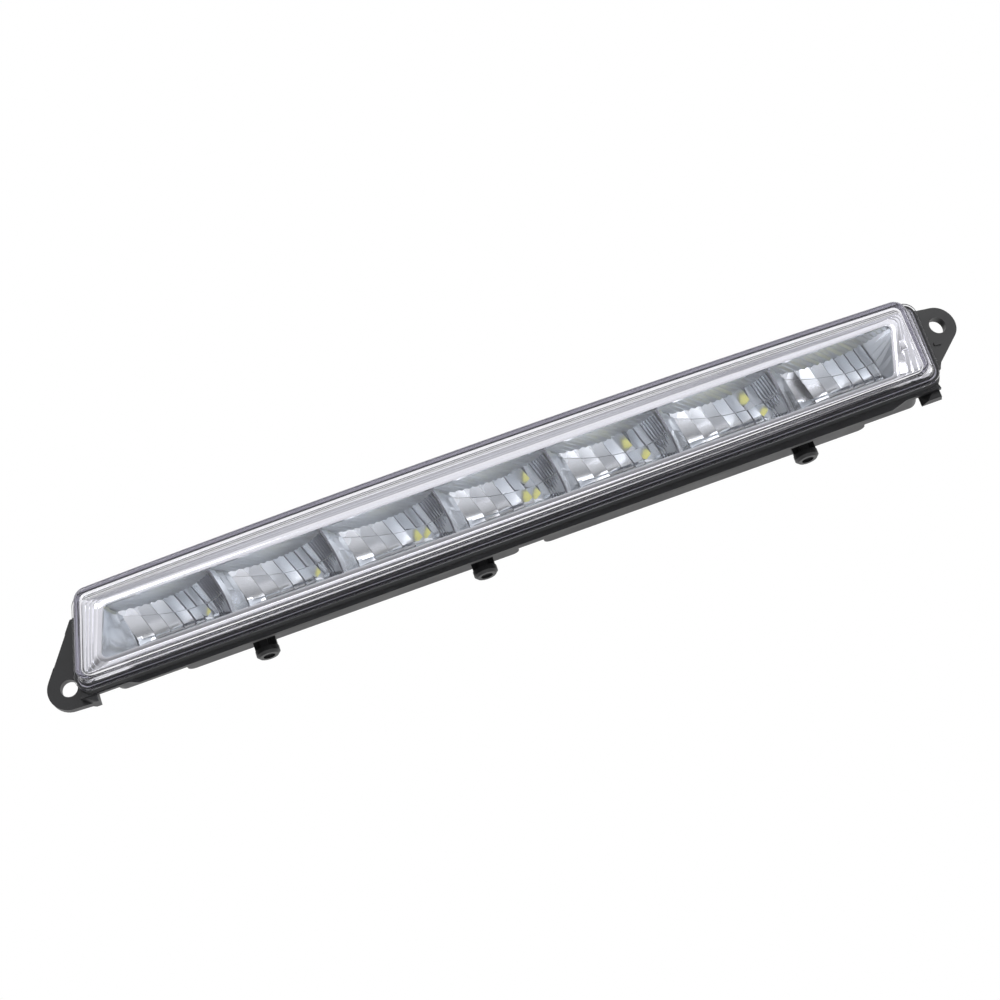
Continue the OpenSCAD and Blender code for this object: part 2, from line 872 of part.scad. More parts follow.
// Shelf under the cells: a slope up from the bezel's lip, and a flat part round the light sources
module reflector_shelf() {
    top = shelf_z + shelf_t;
    x0 = open_left - 0.6;
    y_flat = shelf_flat_y;
    curve = [for (c = reflector_columns) [c[0][0], c[0][1] + 1.2]];
    difference() {
        translate([x0, 0, 0])
            rotate([90, 0, 90])
                linear_extrude(skin_right - x0)
                    polygon([
                        [mirror_y, open_low + 0.1],
                        [y_flat, top],
                        [y_flat + 0.4, top],
                        [y_flat + 0.4, shelf_z],
                        [y_flat - 0.2, shelf_z],
                        [mirror_y, open_low - 0.9]
                    ]);
        // Corners behind the bezel's slope
        translate([0, 0, -5])
            linear_extrude(20) {
                polygon([
                    [open_right - 2, mirror_y - 1],
                    [open_right - 2, mirror_y],
                    [skin_right + 1, mirror_y + 4],
                    [skin_right + 1, mirror_y - 1]
                ]);
                polygon([
                    [x0 - 1, mirror_y - 1],
                    [x0 - 1, mirror_y + 4],
                    [x0 + 3, mirror_y],
                    [x0 + 3, mirror_y - 1]
                ]);
            }
    }
    translate([0, 0, shelf_z])
        linear_extrude(shelf_t)
            intersection() {
                polygon(concat(
                    curve,
                    [[skin_right, mirror_y], [x0, mirror_y]]
                ));
                translate([x0, y_flat])
                    square([skin_right - x0, 60]);
            }
}

// Room below the shelf, cut from the skin so that its lower edge ends inside the shelf
module below_shelf() {
    rotate([90, 0, 90])
        linear_extrude(lens_len)
            polygon([
                [mirror_y - 10, open_low - 4.4],
                [mirror_y, open_low - 0.5],
                [shelf_flat_y - 0.2, shelf_z + 0.4],
                [chamber_y, shelf_z + 0.4],
                [chamber_y, -20],
                [mirror_y - 10, -20]
            ]);
}

// Screw tabs at both ends of the shelf
module reflector_tabs() {
    translate([boss_left[0] - 3, boss_left[1] - 3.2, shelf_z])
        cube([10, 6.4, tab_t]);
    translate([boss_right[0] - 5, shelf_y + 1, shelf_z])
        cube([9, boss_right[1] + 3.2 - shelf_y - 1, tab_t]);
}

module reflector() {
    window = led_side + 2;
    color("lightgray")
        difference() {
            union() {
                difference() {
                    reflector_skin(reflector_columns);
                    below_shelf();
                }
                reflector_ceiling();
                reflector_shelf();
                reflector_tabs();
            }
            for (i = [0:cells - 1])
                translate([cell_x(i) - window / 2, led_y - window / 2, shelf_z - 1])
                    cube([window, window, shelf_t + 2]);
            for (p = [boss_left, boss_right])
                translate([p[0], p[1], shelf_z - 1])
                    cylinder(r = reflector_screw_r + screw_gap, h = tab_t + 2);
        }
}

// Board and cooling

module circuit_board() {
    color("white")
        difference() {
            translate([board_x0, board_y0, board_z])
                cube([board_x1 - board_x0, board_y1 - board_y0, board_t]);
            for (x = board_screw_x)
                translate([x, pocket_y, board_z - 1])
                    cylinder(r = board_screw_r + screw_gap, h = board_t + 2);
            for (x = terminal_x)
                translate([x, terminal_y, board_z - 1])
                    cylinder(r = 1, h = board_t + 2);
        }
}

module thermal_pad() {
    color("lightblue")
        translate([board_x0 + 2, board_y0 + 0.5, pad_z])
            cube([board_x1 - board_x0 - 4, pocket_y - board_y0 - 4, pad_t]);
}

// Heat sink: a bent sheet under the board, with a flange standing in each rear chamber
module sink_profile(x0, x1) {
    r = 2.2;
    translate([x0, 0, 0])
        rotate([90, 0, 90])
            linear_extrude(x1 - x0)
                union() {
                    translate([sink_y1 - 1, floor_z])
                        square([sink_flange_y - r + sink_t - sink_y1 + 1, sink_t]);
                    translate([sink_flange_y, floor_z + r])
                        square([sink_t, sink_h - r]);
                    intersection() {
                        translate([sink_flange_y + sink_t - r, floor_z + r])
                            difference() {
                                circle(r);
                                circle(r - sink_t);
                            }
                        translate([sink_flange_y + sink_t - r, floor_z])
                            square([r, r]);
                    }
                }
}

module heat_sink() {
    reach = plug_w / 2 + plug_wall + plug_flange + 2;
    color([0.75, 0.76, 0.78])
        difference() {
            union() {
                translate([board_x0, sink_y0, floor_z])
                    cube([board_x1 - board_x0, sink_y1 - sink_y0, sink_t]);
                sink_profile(chamber_left + wall + 2, gap_at - gap_w / 2 - wall - 2);
                sink_profile(gap_at + gap_w / 2 + wall + 2, plug_x - reach);
            }
            for (x = board_screw_x)
                translate([x, pocket_y, floor_z - 1])
                    cylinder(r = 3, h = sink_t + 2);
            for (x = terminal_x)
                translate([x, terminal_y, floor_z - 1])
                    cylinder(r = 1.8, h = sink_t + 2);
        }
}

// Light source: a square body with a round well on top
module led(i) {
    color([1, 0.92, 0.5])
        translate([cell_x(i), led_y, board_top])
            difference() {
                translate([-led_side / 2, -led_side / 2, 0])
                    cube([led_side, led_side, led_z - board_top]);
                translate([0, 0, led_z - board_top - 0.2])
                    cylinder(r = led_side * 0.36, h = 1);
            }
}

module board_part(i, dx, dy, size) {
    translate([cell_x(i) + dx - size[0] / 2, pocket_y + dy - size[1] / 2, board_top])
        cube(size);
}

module choke() {
    core_r = 2.1;
    color([0.2, 0.2, 0.22])
        difference() {
            board_part(1, pocket_x, 0.2, [5, 5, 4.2]);
            translate([cell_x(1) + pocket_x, pocket_y + 0.2, board_top + 3.8])
                difference() {
                    cylinder(r = core_r, h = 1);
                    cylinder(r = core_r - 0.7, h = 3, center = true);
                }
        }
}

module driver_chip() {
    legs = 4;
    color([0.12, 0.12, 0.12]) {
        translate([0, 0, 0.2])
            board_part(3, pocket_x, 0.4, [5, 3.8, 1.4]);
        for (k = [0:legs - 1], side = [-1, 1])
            translate([cell_x(3) + pocket_x - 1.9 + k * 1.27 - 0.2, pocket_y + 0.4 + side * 2.4 - 0.6, board_top])
                cube([0.4, 1.2, 0.6]);
    }
}

module diode() {
    color([0.15, 0.15, 0.15])
        union() {
            board_part(5, pocket_x * 0.72, 1.8, [2.8, 2.4, 1.8]);
            board_part(5, pocket_x * 0.72, 1.8, [3.8, 1.2, 0.5]);
        }
}

module capacitor(i, dx) {
    r = 2.1;
    color([0.7, 0.72, 0.75])
        translate([cell_x(i) + dx, pocket_y + 1, board_top])
            rotate_extrude()
                polygon([
                    [0, 0], [r + 0.3, 0], [r + 0.3, 0.8], [r, 0.9], [r, 1.2], [r - 0.15, 1.4],
                    [r, 1.6], [r, 4.8], [r - 0.3, 5.1], [0, 5.1]
                ]);
}

module resistor(i) {
    color([0.1, 0.1, 0.12])
        board_part(i, pocket_x * 0.7, 2, [1.6, 3.2, 0.6]);
}

// Connector

terminal_x = [plug_x - terminal_gap / 2, plug_x + terminal_gap / 2];

module connector_socket() {
    outer = [plug_w + 2 * plug_wall, plug_h + 2 * plug_wall];
    flange_y = plug_inner_y - 0.8 - 1.6;
    color([0.18, 0.18, 0.2])
        difference() {
            union() {
                slab(flange_y, plug_back_y)
                    translate([plug_x, plug_z])
                        square(outer, center = true);
                slab(flange_y, flange_y + 1.6)
                    translate([plug_x, plug_z])
                        square(outer + [2 * plug_flange, 2 * plug_flange], center = true);
                // Barbs that hold the socket in the back wall, above and below
                for (side = [0, 1])
                    translate([plug_x - 3, 0, plug_z])
                        mirror([0, 0, side])
                            rotate([90, 0, 90])
                                linear_extrude(6)
                                    polygon([
                                        [chamber_y + 0.1, plug_h / 2],
                                        [chamber_y + 0.1, outer[1] / 2 + 1],
                                        [chamber_y + 3, outer[1] / 2],
                                        [chamber_y + 3, plug_h / 2]
                                    ]);
            }
            slab(plug_floor_y, plug_back_y + 1)
                translate([plug_x, plug_z])
                    square([plug_w, plug_h], center = true);
            for (x = terminal_x)
                slab(flange_y - 1, plug_floor_y + 1)
                    translate([x, plug_z])
                        square([2.9, 0.9], center = true);
        }
}

// Gasket between the socket's flange and the back wall
module socket_seal() {
    inner = [plug_w + 2 * plug_wall + 0.1, plug_h + 2 * plug_wall + 0.1];
    color("darkorange")
        slab(plug_inner_y - 0.8, plug_inner_y)
            translate([plug_x, plug_z])
                difference() {
                    square(inner + [2 * plug_flange - 0.6, 2 * plug_flange - 0.6], center = true);
                    square(inner, center = true);
                }
}

// Terminal: a flat blade from the socket's mouth, bent down into the board
module terminal(k) {
    blade = 2.8;
    t = 0.8;
    color("gold")
        translate([terminal_x[k], 0, 0]) {
            difference() {
                translate([-blade / 2, terminal_y - t / 2, plug_z - t / 2])
                    cube([blade, terminal_tip_y - terminal_y, t]);
                translate([-blade, terminal_tip_y - t / 2, plug_z - t / 2])
                    rotate([45, 0, 0])
                        cube([2 * blade, 0.5, 0.5], center = true);
            }
            translate([-0.6, terminal_y - t / 2, board_z - 0.4])
                cube([1.2, t, plug_z + t / 2 - board_z + 0.4]);
        }
}

// Vent

module vent_membrane() {
    color("white")
        slab(chamber_y + 2, chamber_y + 2.3)
            translate([vent_x, vent_z])
                circle(4.2);
}

// Cap over the membrane: three inner ribs grip the collar and the rim leaves air below it
module vent_cap() {
    y0 = chamber_y + 0.6;
    color([0.15, 0.15, 0.16])
        translate([vent_x, 0, vent_z])
            difference() {
                union() {
                    slab(y0, y0 + 3.8)
                        difference() {
                            circle(6.5);
                            circle(5.3);
                        }
                    slab(y0 + 2.3, y0 + 3.8)
                        circle(6.4);
                    for (k = [0:2])
                        rotate([0, 120 * k, 0])
                            translate([4.55, y0, -0.6])
                                cube([1.2, 2.6, 1.2]);
                }
                for (k = [0:2])
                    rotate([0, 120 * k + 60, 0])
                        translate([4, y0 - 1, -1.5])
                            cube([4, 1.8, 3]);
            }
}

// Screws

// Pan head screw at p, with its head resting at z and a cross recess
module screw(p, z, r, length, head_r, head_h) {
    recess = head_r * 1.1;
    translate([p[0], p[1], z])
        difference() {
            union() {
                rotate_extrude()
                    polygon([
                        [0, 0], [head_r, 0], [head_r, head_h * 0.5], [head_r * 0.75, head_h], [0, head_h]
                    ]);
                translate([0, 0, -length])
                    cylinder(r1 = r * 0.6, r2 = r, h = 1);
                translate([0, 0, 1 - length])
                    cylinder(r = r, h = length - 0.5);
            }
            for (turn = [0, 90])
                rotate([0, 0, turn])
                    translate([-recess / 2, -0.3, head_h * 0.45])
                        cube([recess, 0.6, head_h]);
        }
}

module board_screws() {
    color("silver")
        for (x = board_screw_x)
            screw([x, pocket_y], board_top, board_screw_r, board_top - tray_low - 1.5, 2.2, 1.5);
}

module reflector_screws() {
    color("silver")
        for (p = [boss_left, boss_right])
            screw(p, shelf_z + tab_t, reflector_screw_r, shelf_z + tab_t - tray_low - 1.5, 2.6, 1.8);
}

outer_lens();
lens_seal();
housing();
bezel();
reflector();
circuit_board();
thermal_pad();
heat_sink();
led(0);  // led_1
led(1);  // led_2
led(2);  // led_3
led(3);  // led_4
led(4);  // led_5
led(5);  // led_6
led(6);  // led_7
choke();
driver_chip();
diode();
capacitor(1, pocket_x * 1.45);  // capacitor_1
capacitor(3, pocket_x * 1.45);  // capacitor_2
resistor(0);  // resistor_1
resistor(2);  // resistor_2
resistor(4);  // resistor_3
connector_socket();
socket_seal();
terminal(0);  // terminal_1
terminal(1);  // terminal_2
vent_membrane();
vent_cap();
board_screws();
reflector_screws();
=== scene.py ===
# %% [markdown]
# # A daytime running light, dressed in Blender
#
# The real object is a long lamp from the corner of a car's bumper. A clear lens stands in
# front of a black housing, and behind the lens a chromed frame shows seven faceted mirrors.
# The solids come ready made from the CAD model. This lesson gives them their finishes, adds
# the fine facets that solids don't need, and sets up a plain photo studio round them.

# %% Load the solids
import json
from math import acos, atan2, cos, pi, radians, sin, tan

import bmesh
import bpy
from mathutils import Matrix, Vector


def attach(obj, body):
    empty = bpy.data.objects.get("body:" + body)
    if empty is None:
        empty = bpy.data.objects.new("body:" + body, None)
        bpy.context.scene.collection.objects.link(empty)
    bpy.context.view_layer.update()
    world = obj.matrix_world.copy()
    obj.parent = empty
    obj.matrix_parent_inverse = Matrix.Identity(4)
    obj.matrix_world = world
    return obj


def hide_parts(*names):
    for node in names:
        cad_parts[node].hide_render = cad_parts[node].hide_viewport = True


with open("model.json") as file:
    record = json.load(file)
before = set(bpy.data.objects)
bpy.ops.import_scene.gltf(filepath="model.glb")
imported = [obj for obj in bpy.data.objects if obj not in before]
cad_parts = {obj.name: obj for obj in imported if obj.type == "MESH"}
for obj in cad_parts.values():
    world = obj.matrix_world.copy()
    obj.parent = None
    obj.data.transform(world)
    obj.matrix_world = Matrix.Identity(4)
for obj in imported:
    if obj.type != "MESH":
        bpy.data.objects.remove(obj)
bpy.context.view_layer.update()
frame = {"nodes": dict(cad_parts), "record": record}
nodes = frame["nodes"]
print("solids:", len(nodes))

# %% [markdown]
# ## Units and two helpers for materials
#
# Blender works in metres here and the lamp is drawn in millimetres, so one named factor turns
# one into the other. Every finish starts from the Principled shader. A constant goes straight
# on the shader's own socket, so the finish keeps it when the model is exported.

# %% Units and material helpers
MM = 0.001
VIEW_BELOW = radians(21)


def new_material(name, colour, **sockets):
    """A material with one Principled shader; sockets are set by name, with _ for a space."""
    mat = bpy.data.materials.new(name)
    mat.use_nodes = True
    tree = mat.node_tree
    shader = next(n for n in tree.nodes if n.type == "BSDF_PRINCIPLED")
    shader.inputs["Base Color"].default_value = (*colour, 1)
    for key, value in sockets.items():
        shader.inputs[key.replace("_", " ")].default_value = value
    return mat, tree, shader


def object_noise(tree, scale, detail=2.0, stretch=(1, 1, 1)):
    """Noise that is fixed to the piece, through its Object coordinates."""
    coord = tree.nodes.new("ShaderNodeTexCoord")
    place = tree.nodes.new("ShaderNodeMapping")
    place.inputs["Scale"].default_value = stretch
    noise = tree.nodes.new("ShaderNodeTexNoise")
    noise.inputs["Scale"].default_value = scale
    noise.inputs["Detail"].default_value = detail
    tree.links.new(coord.outputs["Object"], place.inputs["Vector"])
    tree.links.new(place.outputs["Vector"], noise.inputs["Vector"])
    return noise


def bump_from(tree, shader, height, strength, distance):
    """Raises the surface a little by a height pattern."""
    bump = tree.nodes.new("ShaderNodeBump")
    bump.inputs["Strength"].default_value = strength
    bump.inputs["Distance"].default_value = distance
    tree.links.new(height, bump.inputs["Height"])
    tree.links.new(bump.outputs["Normal"], shader.inputs["Normal"])
    return bump


def between(tree, factor, low, high, start=0.3, end=0.7):
    """A value that runs from low to high as a pattern runs from start to end."""
    span = tree.nodes.new("ShaderNodeMapRange")
    span.inputs["From Min"].default_value = start
    span.inputs["From Max"].default_value = end
    span.inputs["To Min"].default_value = low
    span.inputs["To Max"].default_value = high
    tree.links.new(factor, span.inputs["Value"])
    return span.outputs["Result"]


def two_colours(tree, factor, first, second):
    """A colour between two, by a pattern."""
    mix = tree.nodes.new("ShaderNodeMix")
    mix.data_type = "RGBA"
    mix.inputs["A"].default_value = (*first, 1)
    mix.inputs["B"].default_value = (*second, 1)
    tree.links.new(factor, mix.inputs["Factor"])
    return mix.outputs["Result"]


# %% [markdown]
# ## The clear lens
#
# The real lens is moulded from clear plastic, a little violet where one looks along its edges.
# A transmitting shader with the plastic's refraction bends what lies behind it, as the real
# wall does. Lamps shine through such a wall, but a path tracer without caustics would leave the
# mirrors behind it in the dark, so shadow rays pass through a plain tinted Transparent shader.
# The tint belongs to the depth of the plastic and not to its surface, so it comes from a volume
# that absorbs a little light on the way: the thin front stays clear, and the long way through a
# side wall turns grey and violet.

# %% Clear plastic
TINT_DENSITY = 25


def clear_plastic():
    """Clear plastic that is tinted by its depth and lets shadow rays through."""
    mat, tree, shader = new_material(
        "clear_plastic", (0.985, 0.985, 0.992),
        Roughness=0.01, IOR=1.5, Transmission_Weight=1.0,
    )
    depth = tree.nodes.new("ShaderNodeVolumeAbsorption")
    depth.inputs["Color"].default_value = (0.6, 0.56, 0.72, 1)
    depth.inputs["Density"].default_value = TINT_DENSITY
    path = tree.nodes.new("ShaderNodeLightPath")
    clear = tree.nodes.new("ShaderNodeBsdfTransparent")
    clear.inputs["Color"].default_value = (0.95, 0.95, 0.97, 1)
    either = tree.nodes.new("ShaderNodeMath")
    either.operation = "MAXIMUM"
    mix = tree.nodes.new("ShaderNodeMixShader")
    out = next(n for n in tree.nodes if n.type == "OUTPUT_MATERIAL")
    tree.links.new(path.outputs["Is Shadow Ray"], either.inputs[0])
    tree.links.new(path.outputs["Is Diffuse Ray"], either.inputs[1])
    tree.links.new(either.outputs[0], mix.inputs["Fac"])
    tree.links.new(shader.outputs["BSDF"], mix.inputs[1])
    tree.links.new(clear.outputs["BSDF"], mix.inputs[2])
    tree.links.new(mix.outputs["Shader"], out.inputs["Surface"])
    tree.links.new(depth.outputs["Volume"], out.inputs["Volume"])
    return mat


# %% [markdown]
# ## Moulded black plastic
#
# The housing is a filled black plastic with a fine spark-eroded grain. A fine noise raises the
# grain, and a broad one varies how dull it is, as handling and moulding do.

# %% Black plastic
def black_plastic(name, colour, rough, grain):
    """Moulded plastic with a fine grain and a patchy dullness."""
    mat, tree, shader = new_material(name, colour, Roughness=rough)
    fine = object_noise(tree, 2600, 3)
    bump_from(tree, shader, fine.outputs["Fac"], grain, 0.00004)
    broad = object_noise(tree, 60, 3)
    tree.links.new(
        between(tree, broad.outputs["Fac"], rough - 0.06, rough + 0.06),
        shader.inputs["Roughness"],
    )
    tone = two_colours(
        tree, broad.outputs["Fac"],
        tuple(c * 0.85 for c in colour), tuple(c * 1.2 for c in colour),
    )
    tree.links.new(tone, shader.inputs["Base Color"])
    return mat


# %% [markdown]
# ## Metallised plastic
#
# The bezel and the mirrors are plastic with a film of aluminium under clear lacquer. The film is
# bright and slightly blue, and it follows every small sink mark of the moulding, so a low wide
# noise bends its reflections a little. The mirrors are duller than the bezel: their tool is
# finely blasted, so that seven small light sources make one even strip of light. The metal
# vapour comes from the front, so the film is thin on the steep steps between the mirrors, and
# they show as fine dark lines.

# %% Metallised plastic
def metallised(name, colour, rough, waviness):
    """A film of metal over a slightly wavy moulding."""
    mat, tree, shader = new_material(name, colour, Metallic=1.0, Roughness=rough)
    wave = object_noise(tree, 180, 2)
    bump_from(tree, shader, wave.outputs["Fac"], waviness, 0.0003)
    return mat


# %% [markdown]
# ## The remaining finishes
#
# The board, the pad, the sheet aluminium and the small parts are mostly hidden. Each still gets
# its own finish, because the lamp can be looked at from behind and taken apart. The phosphor
# gets a small painted glow of its own, standing for the light it fluoresces in daylight.

# %% All the finishes
def sheet_metal():
    """Rolled aluminium, with fine lines along the lamp."""
    mat, tree, shader = new_material("sheet", (0.62, 0.63, 0.65), Metallic=1.0, Roughness=0.38)
    rolled = object_noise(tree, 500, 3, (0.04, 1, 1))
    bump_from(tree, shader, rolled.outputs["Fac"], 0.25, 0.00005)
    return mat


def solder_mask():
    """The white lacquer of a circuit board for light sources."""
    mat, tree, shader = new_material("board", (0.78, 0.8, 0.78), Roughness=0.35)
    cloudy = object_noise(tree, 300, 3)
    tone = two_colours(tree, cloudy.outputs["Fac"], (0.7, 0.72, 0.7), (0.85, 0.86, 0.84))
    tree.links.new(tone, shader.inputs["Base Color"])
    return mat


finishes = {
    "clear_plastic": clear_plastic(),
    "black_plastic": black_plastic("black_plastic", (0.012, 0.012, 0.013), 0.42, 0.35),
    "metallised": metallised("metallised", (0.88, 0.88, 0.91), 0.1, 0.05),
    "adhesive": black_plastic("adhesive", (0.8, 0.79, 0.85), 0.5, 0.2),
    "board": solder_mask(),
    "pad": new_material("pad", (0.4, 0.5, 0.62), Roughness=0.7)[0],
    "sheet": sheet_metal(),
    # Painted glow: the phosphor's emission makes it brighter than the lamps alone light it.
    "phosphor": new_material(
        "phosphor", (0.9, 0.86, 0.28), Roughness=0.4,
        Emission_Color=(0.9, 0.87, 0.35, 1), Emission_Strength=0.45,
    )[0],
    "component_black": black_plastic("component_black", (0.03, 0.03, 0.032), 0.45, 0.3),
    "ferrite": black_plastic("ferrite", (0.06, 0.06, 0.065), 0.6, 0.4),
    "can": new_material("can", (0.7, 0.71, 0.73), Metallic=1.0, Roughness=0.3)[0],
    "socket_plastic": black_plastic("socket_plastic", (0.028, 0.028, 0.032), 0.42, 0.25),
    "seal": new_material("seal", (0.5, 0.14, 0.03), Roughness=0.55)[0],
    "contact": new_material("contact", (0.8, 0.62, 0.3), Metallic=1.0, Roughness=0.25)[0],
    "membrane": new_material("membrane", (0.8, 0.8, 0.8), Roughness=0.9)[0],
    "screw_steel": new_material("screw_steel", (0.6, 0.6, 0.62), Metallic=1.0, Roughness=0.3)[0],
}
facet_mirror = metallised("facet_mirror", (0.87, 0.89, 0.91), 0.14, 0.02)
ribbed_mirror = metallised("ribbed_mirror", (0.87, 0.89, 0.91), 0.34, 0.02)
# Painted shade: a dark metal for the steep steps between the strips, drawn as fine dark lines.
painted_step_shade = metallised("painted_step_shade", (0.2, 0.2, 0.23), 0.35, 0.02)
print("finishes:", len(finishes) + 3)

# %% Put the finishes on the solids
for part in frame["record"]["subparts"]:
    mesh = nodes[part["node"]].data
    mesh.materials.clear()
    mesh.materials.append(finishes[part["material_slot"]])
nodes["reflector"].data.materials[0] = ribbed_mirror

# %% [markdown]
# ## Outlines of the lamp
#
# The lens and the bezel are drawn once more here, with rounder corners than a CAD solid needs.
# Both follow the same rule as the solids: an outline through four corners, with an arc in each
# corner and a slight bow in the long edges, and straight walls between outlines at given depths.
# A bigger number of steps makes the reflections along the corners run smoothly.

# %% Outlines
ARC_STEPS = 14
BOW_STEPS = 28

LENS_LEN = 357.4
LENS_LEFT_H = 39.0
LENS_RIGHT_H = 35.1
LENS_LEAN = radians(13.5)
LENS_RISE = 2.3
LENS_R = 5.4
BOW_LOW, BOW_TOP = 0.6, 2.2
LENS_CORNER = (2.4, -5.6)
SEAT_Y = -8.0
FRONT_Y = -19.0
LENS_WALL = 2.1
FLANGE_T, FLANGE_W = 1.8, 1.2
DRAFT_LEFT, DRAFT_RIGHT, DRAFT_TOP, DRAFT_LOW = 2.8, 4.3, 1.2, 0.6

lens_x, lens_z = LENS_CORNER
flange_corners = [
    Vector((lens_x, lens_z)),
    Vector((lens_x + LENS_LEN, lens_z + LENS_RISE)),
    Vector((lens_x + LENS_LEN + 0.4, lens_z + LENS_RISE + LENS_RIGHT_H)),
    Vector((lens_x + LENS_LEFT_H * tan(LENS_LEAN), lens_z + LENS_LEFT_H)),
]
front_corners = [
    flange_corners[0] + Vector((DRAFT_LEFT, DRAFT_LOW)),
    flange_corners[1] + Vector((-DRAFT_RIGHT, DRAFT_LOW)),
    flange_corners[2] + Vector((-DRAFT_RIGHT - 0.4, -DRAFT_TOP)),
    flange_corners[3] + Vector((DRAFT_LEFT, -DRAFT_TOP)),
]

OPEN_LOW, OPEN_HIGH = 1.9, 22.6
OPEN_LEFT = lens_x + 15.2
OPEN_RIGHT = lens_x + LENS_LEN - 18.6
OPEN_LEAN = radians(17.2)
OPEN_R = 2.0
open_shift = (OPEN_HIGH - OPEN_LOW) * tan(OPEN_LEAN)
open_corners = [
    Vector((OPEN_LEFT, OPEN_LOW)),
    Vector((OPEN_RIGHT, OPEN_LOW)),
    Vector((OPEN_RIGHT + open_shift, OPEN_HIGH)),
    Vector((OPEN_LEFT + open_shift, OPEN_HIGH)),
]


def corner_arc(before, corner, after, radius):
    """Points round one corner, from the side of the corner before to the one after."""
    u = (before - corner).normalized()
    v = (after - corner).normalized()
    half = acos(max(-1.0, min(1.0, u.dot(v)))) / 2
    centre = corner + (u + v).normalized() * radius / sin(half)
    start = corner + u * radius / tan(half) - centre
    angle = atan2(start.y, start.x)
    sweep = pi - 2 * half
    return [
        centre + radius * Vector((cos(angle + sweep * k / ARC_STEPS), sin(angle + sweep * k / ARC_STEPS)))
        for k in range(ARC_STEPS + 1)
    ]


def moved_corner(before, corner, after, grow):
    """A corner moved outwards, so that both of its sides move by the same distance."""
    u = (before - corner).normalized()
    v = (after - corner).normalized()
    half = acos(u.dot(v)) / 2
    return corner - (u + v).normalized() * grow / sin(half)


def bowed(start, end, height):
    """Points between two ends of an edge that bows outwards by a height in its middle."""
    along = (end - start).normalized()
    out = Vector((along.y, -along.x))
    shares = [k / BOW_STEPS for k in range(1, BOW_STEPS)]
    return [start.lerp(end, t) + out * height * 4 * t * (1 - t) for t in shares]


def outline(corners, radius, grow, low=0.0, high=0.0):
    """Rounded outline through four corners, grown outwards."""
    moved = [
        moved_corner(corners[i - 1], corners[i], corners[(i + 1) % 4], grow) for i in range(4)
    ]
    arcs = [
        corner_arc(moved[i - 1], moved[i], moved[(i + 1) % 4], max(radius + grow, 0.4))
        for i in range(4)
    ]
    return (
        arcs[0] + bowed(arcs[0][-1], arcs[1][0], low)
        + arcs[1] + bowed(arcs[1][-1], arcs[2][0], 0)
        + arcs[2] + bowed(arcs[2][-1], arcs[3][0], high)
        + arcs[3] + bowed(arcs[3][-1], arcs[0][0], 0)
    )


def lens_outline(share, grow):
    """Outline of the lens at a share of the way from its flange to its front."""
    corners = [a.lerp(b, share) for a, b in zip(flange_corners, front_corners)]
    return outline(corners, LENS_R, grow, BOW_LOW, BOW_TOP)


def open_outline(grow):
    """Outline of the bezel's opening, grown outwards."""
    return outline(open_corners, OPEN_R, grow)


def blended(first, second, share):
    """An outline at a share of the way from one to another."""
    return [a.lerp(b, share) for a, b in zip(first, second)]


print("points in an outline:", len(lens_outline(0, 0)))

# %% [markdown]
# ## From rings to a mesh
#
# A ring is an outline and a depth. Neighbouring rings are joined by a band of quads. The mesh is
# shaded smooth, apart from edges sharper than a limit, which stay crisp. A closed shape has to
# face outwards, or its inside counts as its outside, and clear plastic then tints the air. The
# volume shows it: it is positive only where the faces point out.

# %% Mesh builders
SHARP = radians(32)


def finished_mesh(name, points, faces, slot_name):
    """An object from points in millimetres, smooth but for its sharp edges, in a record's slot."""
    mesh = bpy.data.meshes.new(name)
    mesh.from_pydata([Vector(p) * MM for p in points], [], faces)
    mesh.update()
    mesh.shade_smooth()
    mesh.set_sharp_from_angle(angle=SHARP)
    mesh.materials.append(finishes[slot_name])
    piece = bpy.data.objects.new(name, mesh)
    bpy.context.scene.collection.objects.link(piece)
    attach(piece, "root")
    return piece


def volume_cm3(piece):
    """Volume of a closed piece, which is negative if it is inside out."""
    shape = bmesh.new()
    shape.from_mesh(piece.data)
    volume = shape.calc_volume(signed=True) * 1e6
    shape.free()
    return round(volume, 2)


def ring_bands(rings, closed):
    """Points and faces of the bands between rings; closed joins the last ring to the first."""
    count = len(rings[0][0])
    points = [(p.x, y, p.y) for shape, y in rings for p in shape]
    faces = []
    for k in range(len(rings) if closed else len(rings) - 1):
        a = k * count
        b = (k + 1) % len(rings) * count
        for i in range(count):
            j = (i + 1) % count
            faces.append((a + i, b + i, b + j, a + j))
    return points, faces


# %% [markdown]
# ## The lens, rounder
#
# The lens is one shell: its outside from the middle of the front to the seat, then back up its
# inside. Its front bulges a fraction of a millimetre, so that a window reflected in it bends.

# %% Lens
EDGE_R = 1.5
TONGUE_D = 1.6
FIT_GAP = 0.2
flange_share = FLANGE_T / (SEAT_Y - FRONT_Y)
step_y = SEAT_Y - FLANGE_T
back_y = FRONT_Y + LENS_WALL
lens_rings = [
    (lens_outline(1, -14), FRONT_Y - 0.35),
    (lens_outline(1, -7), FRONT_Y - 0.22),
    (lens_outline(1, -3.5), FRONT_Y - 0.1),
]
for k in range(9):
    turn = radians(90) * k / 8
    inset = EDGE_R * (1 - sin(turn))
    lens_rings.append((lens_outline(1, -inset), FRONT_Y + EDGE_R * (1 - cos(turn))))
lens_rings += [
    (lens_outline(flange_share, -FLANGE_W), step_y),
    (lens_outline(0, -0.15), step_y),
    (lens_outline(0, 0), step_y + 0.15),
    (lens_outline(0, 0), SEAT_Y),
    (lens_outline(0, -FLANGE_W - FIT_GAP), SEAT_Y),
    (lens_outline(0, -FLANGE_W - FIT_GAP), SEAT_Y + TONGUE_D),
    (lens_outline(0, -FLANGE_W - LENS_WALL + FIT_GAP), SEAT_Y + TONGUE_D),
    (lens_outline(0, -FLANGE_W - LENS_WALL + FIT_GAP), SEAT_Y),
    (lens_outline(0, -FLANGE_W - LENS_WALL), SEAT_Y),
    (lens_outline(flange_share, -FLANGE_W - LENS_WALL), step_y),
]
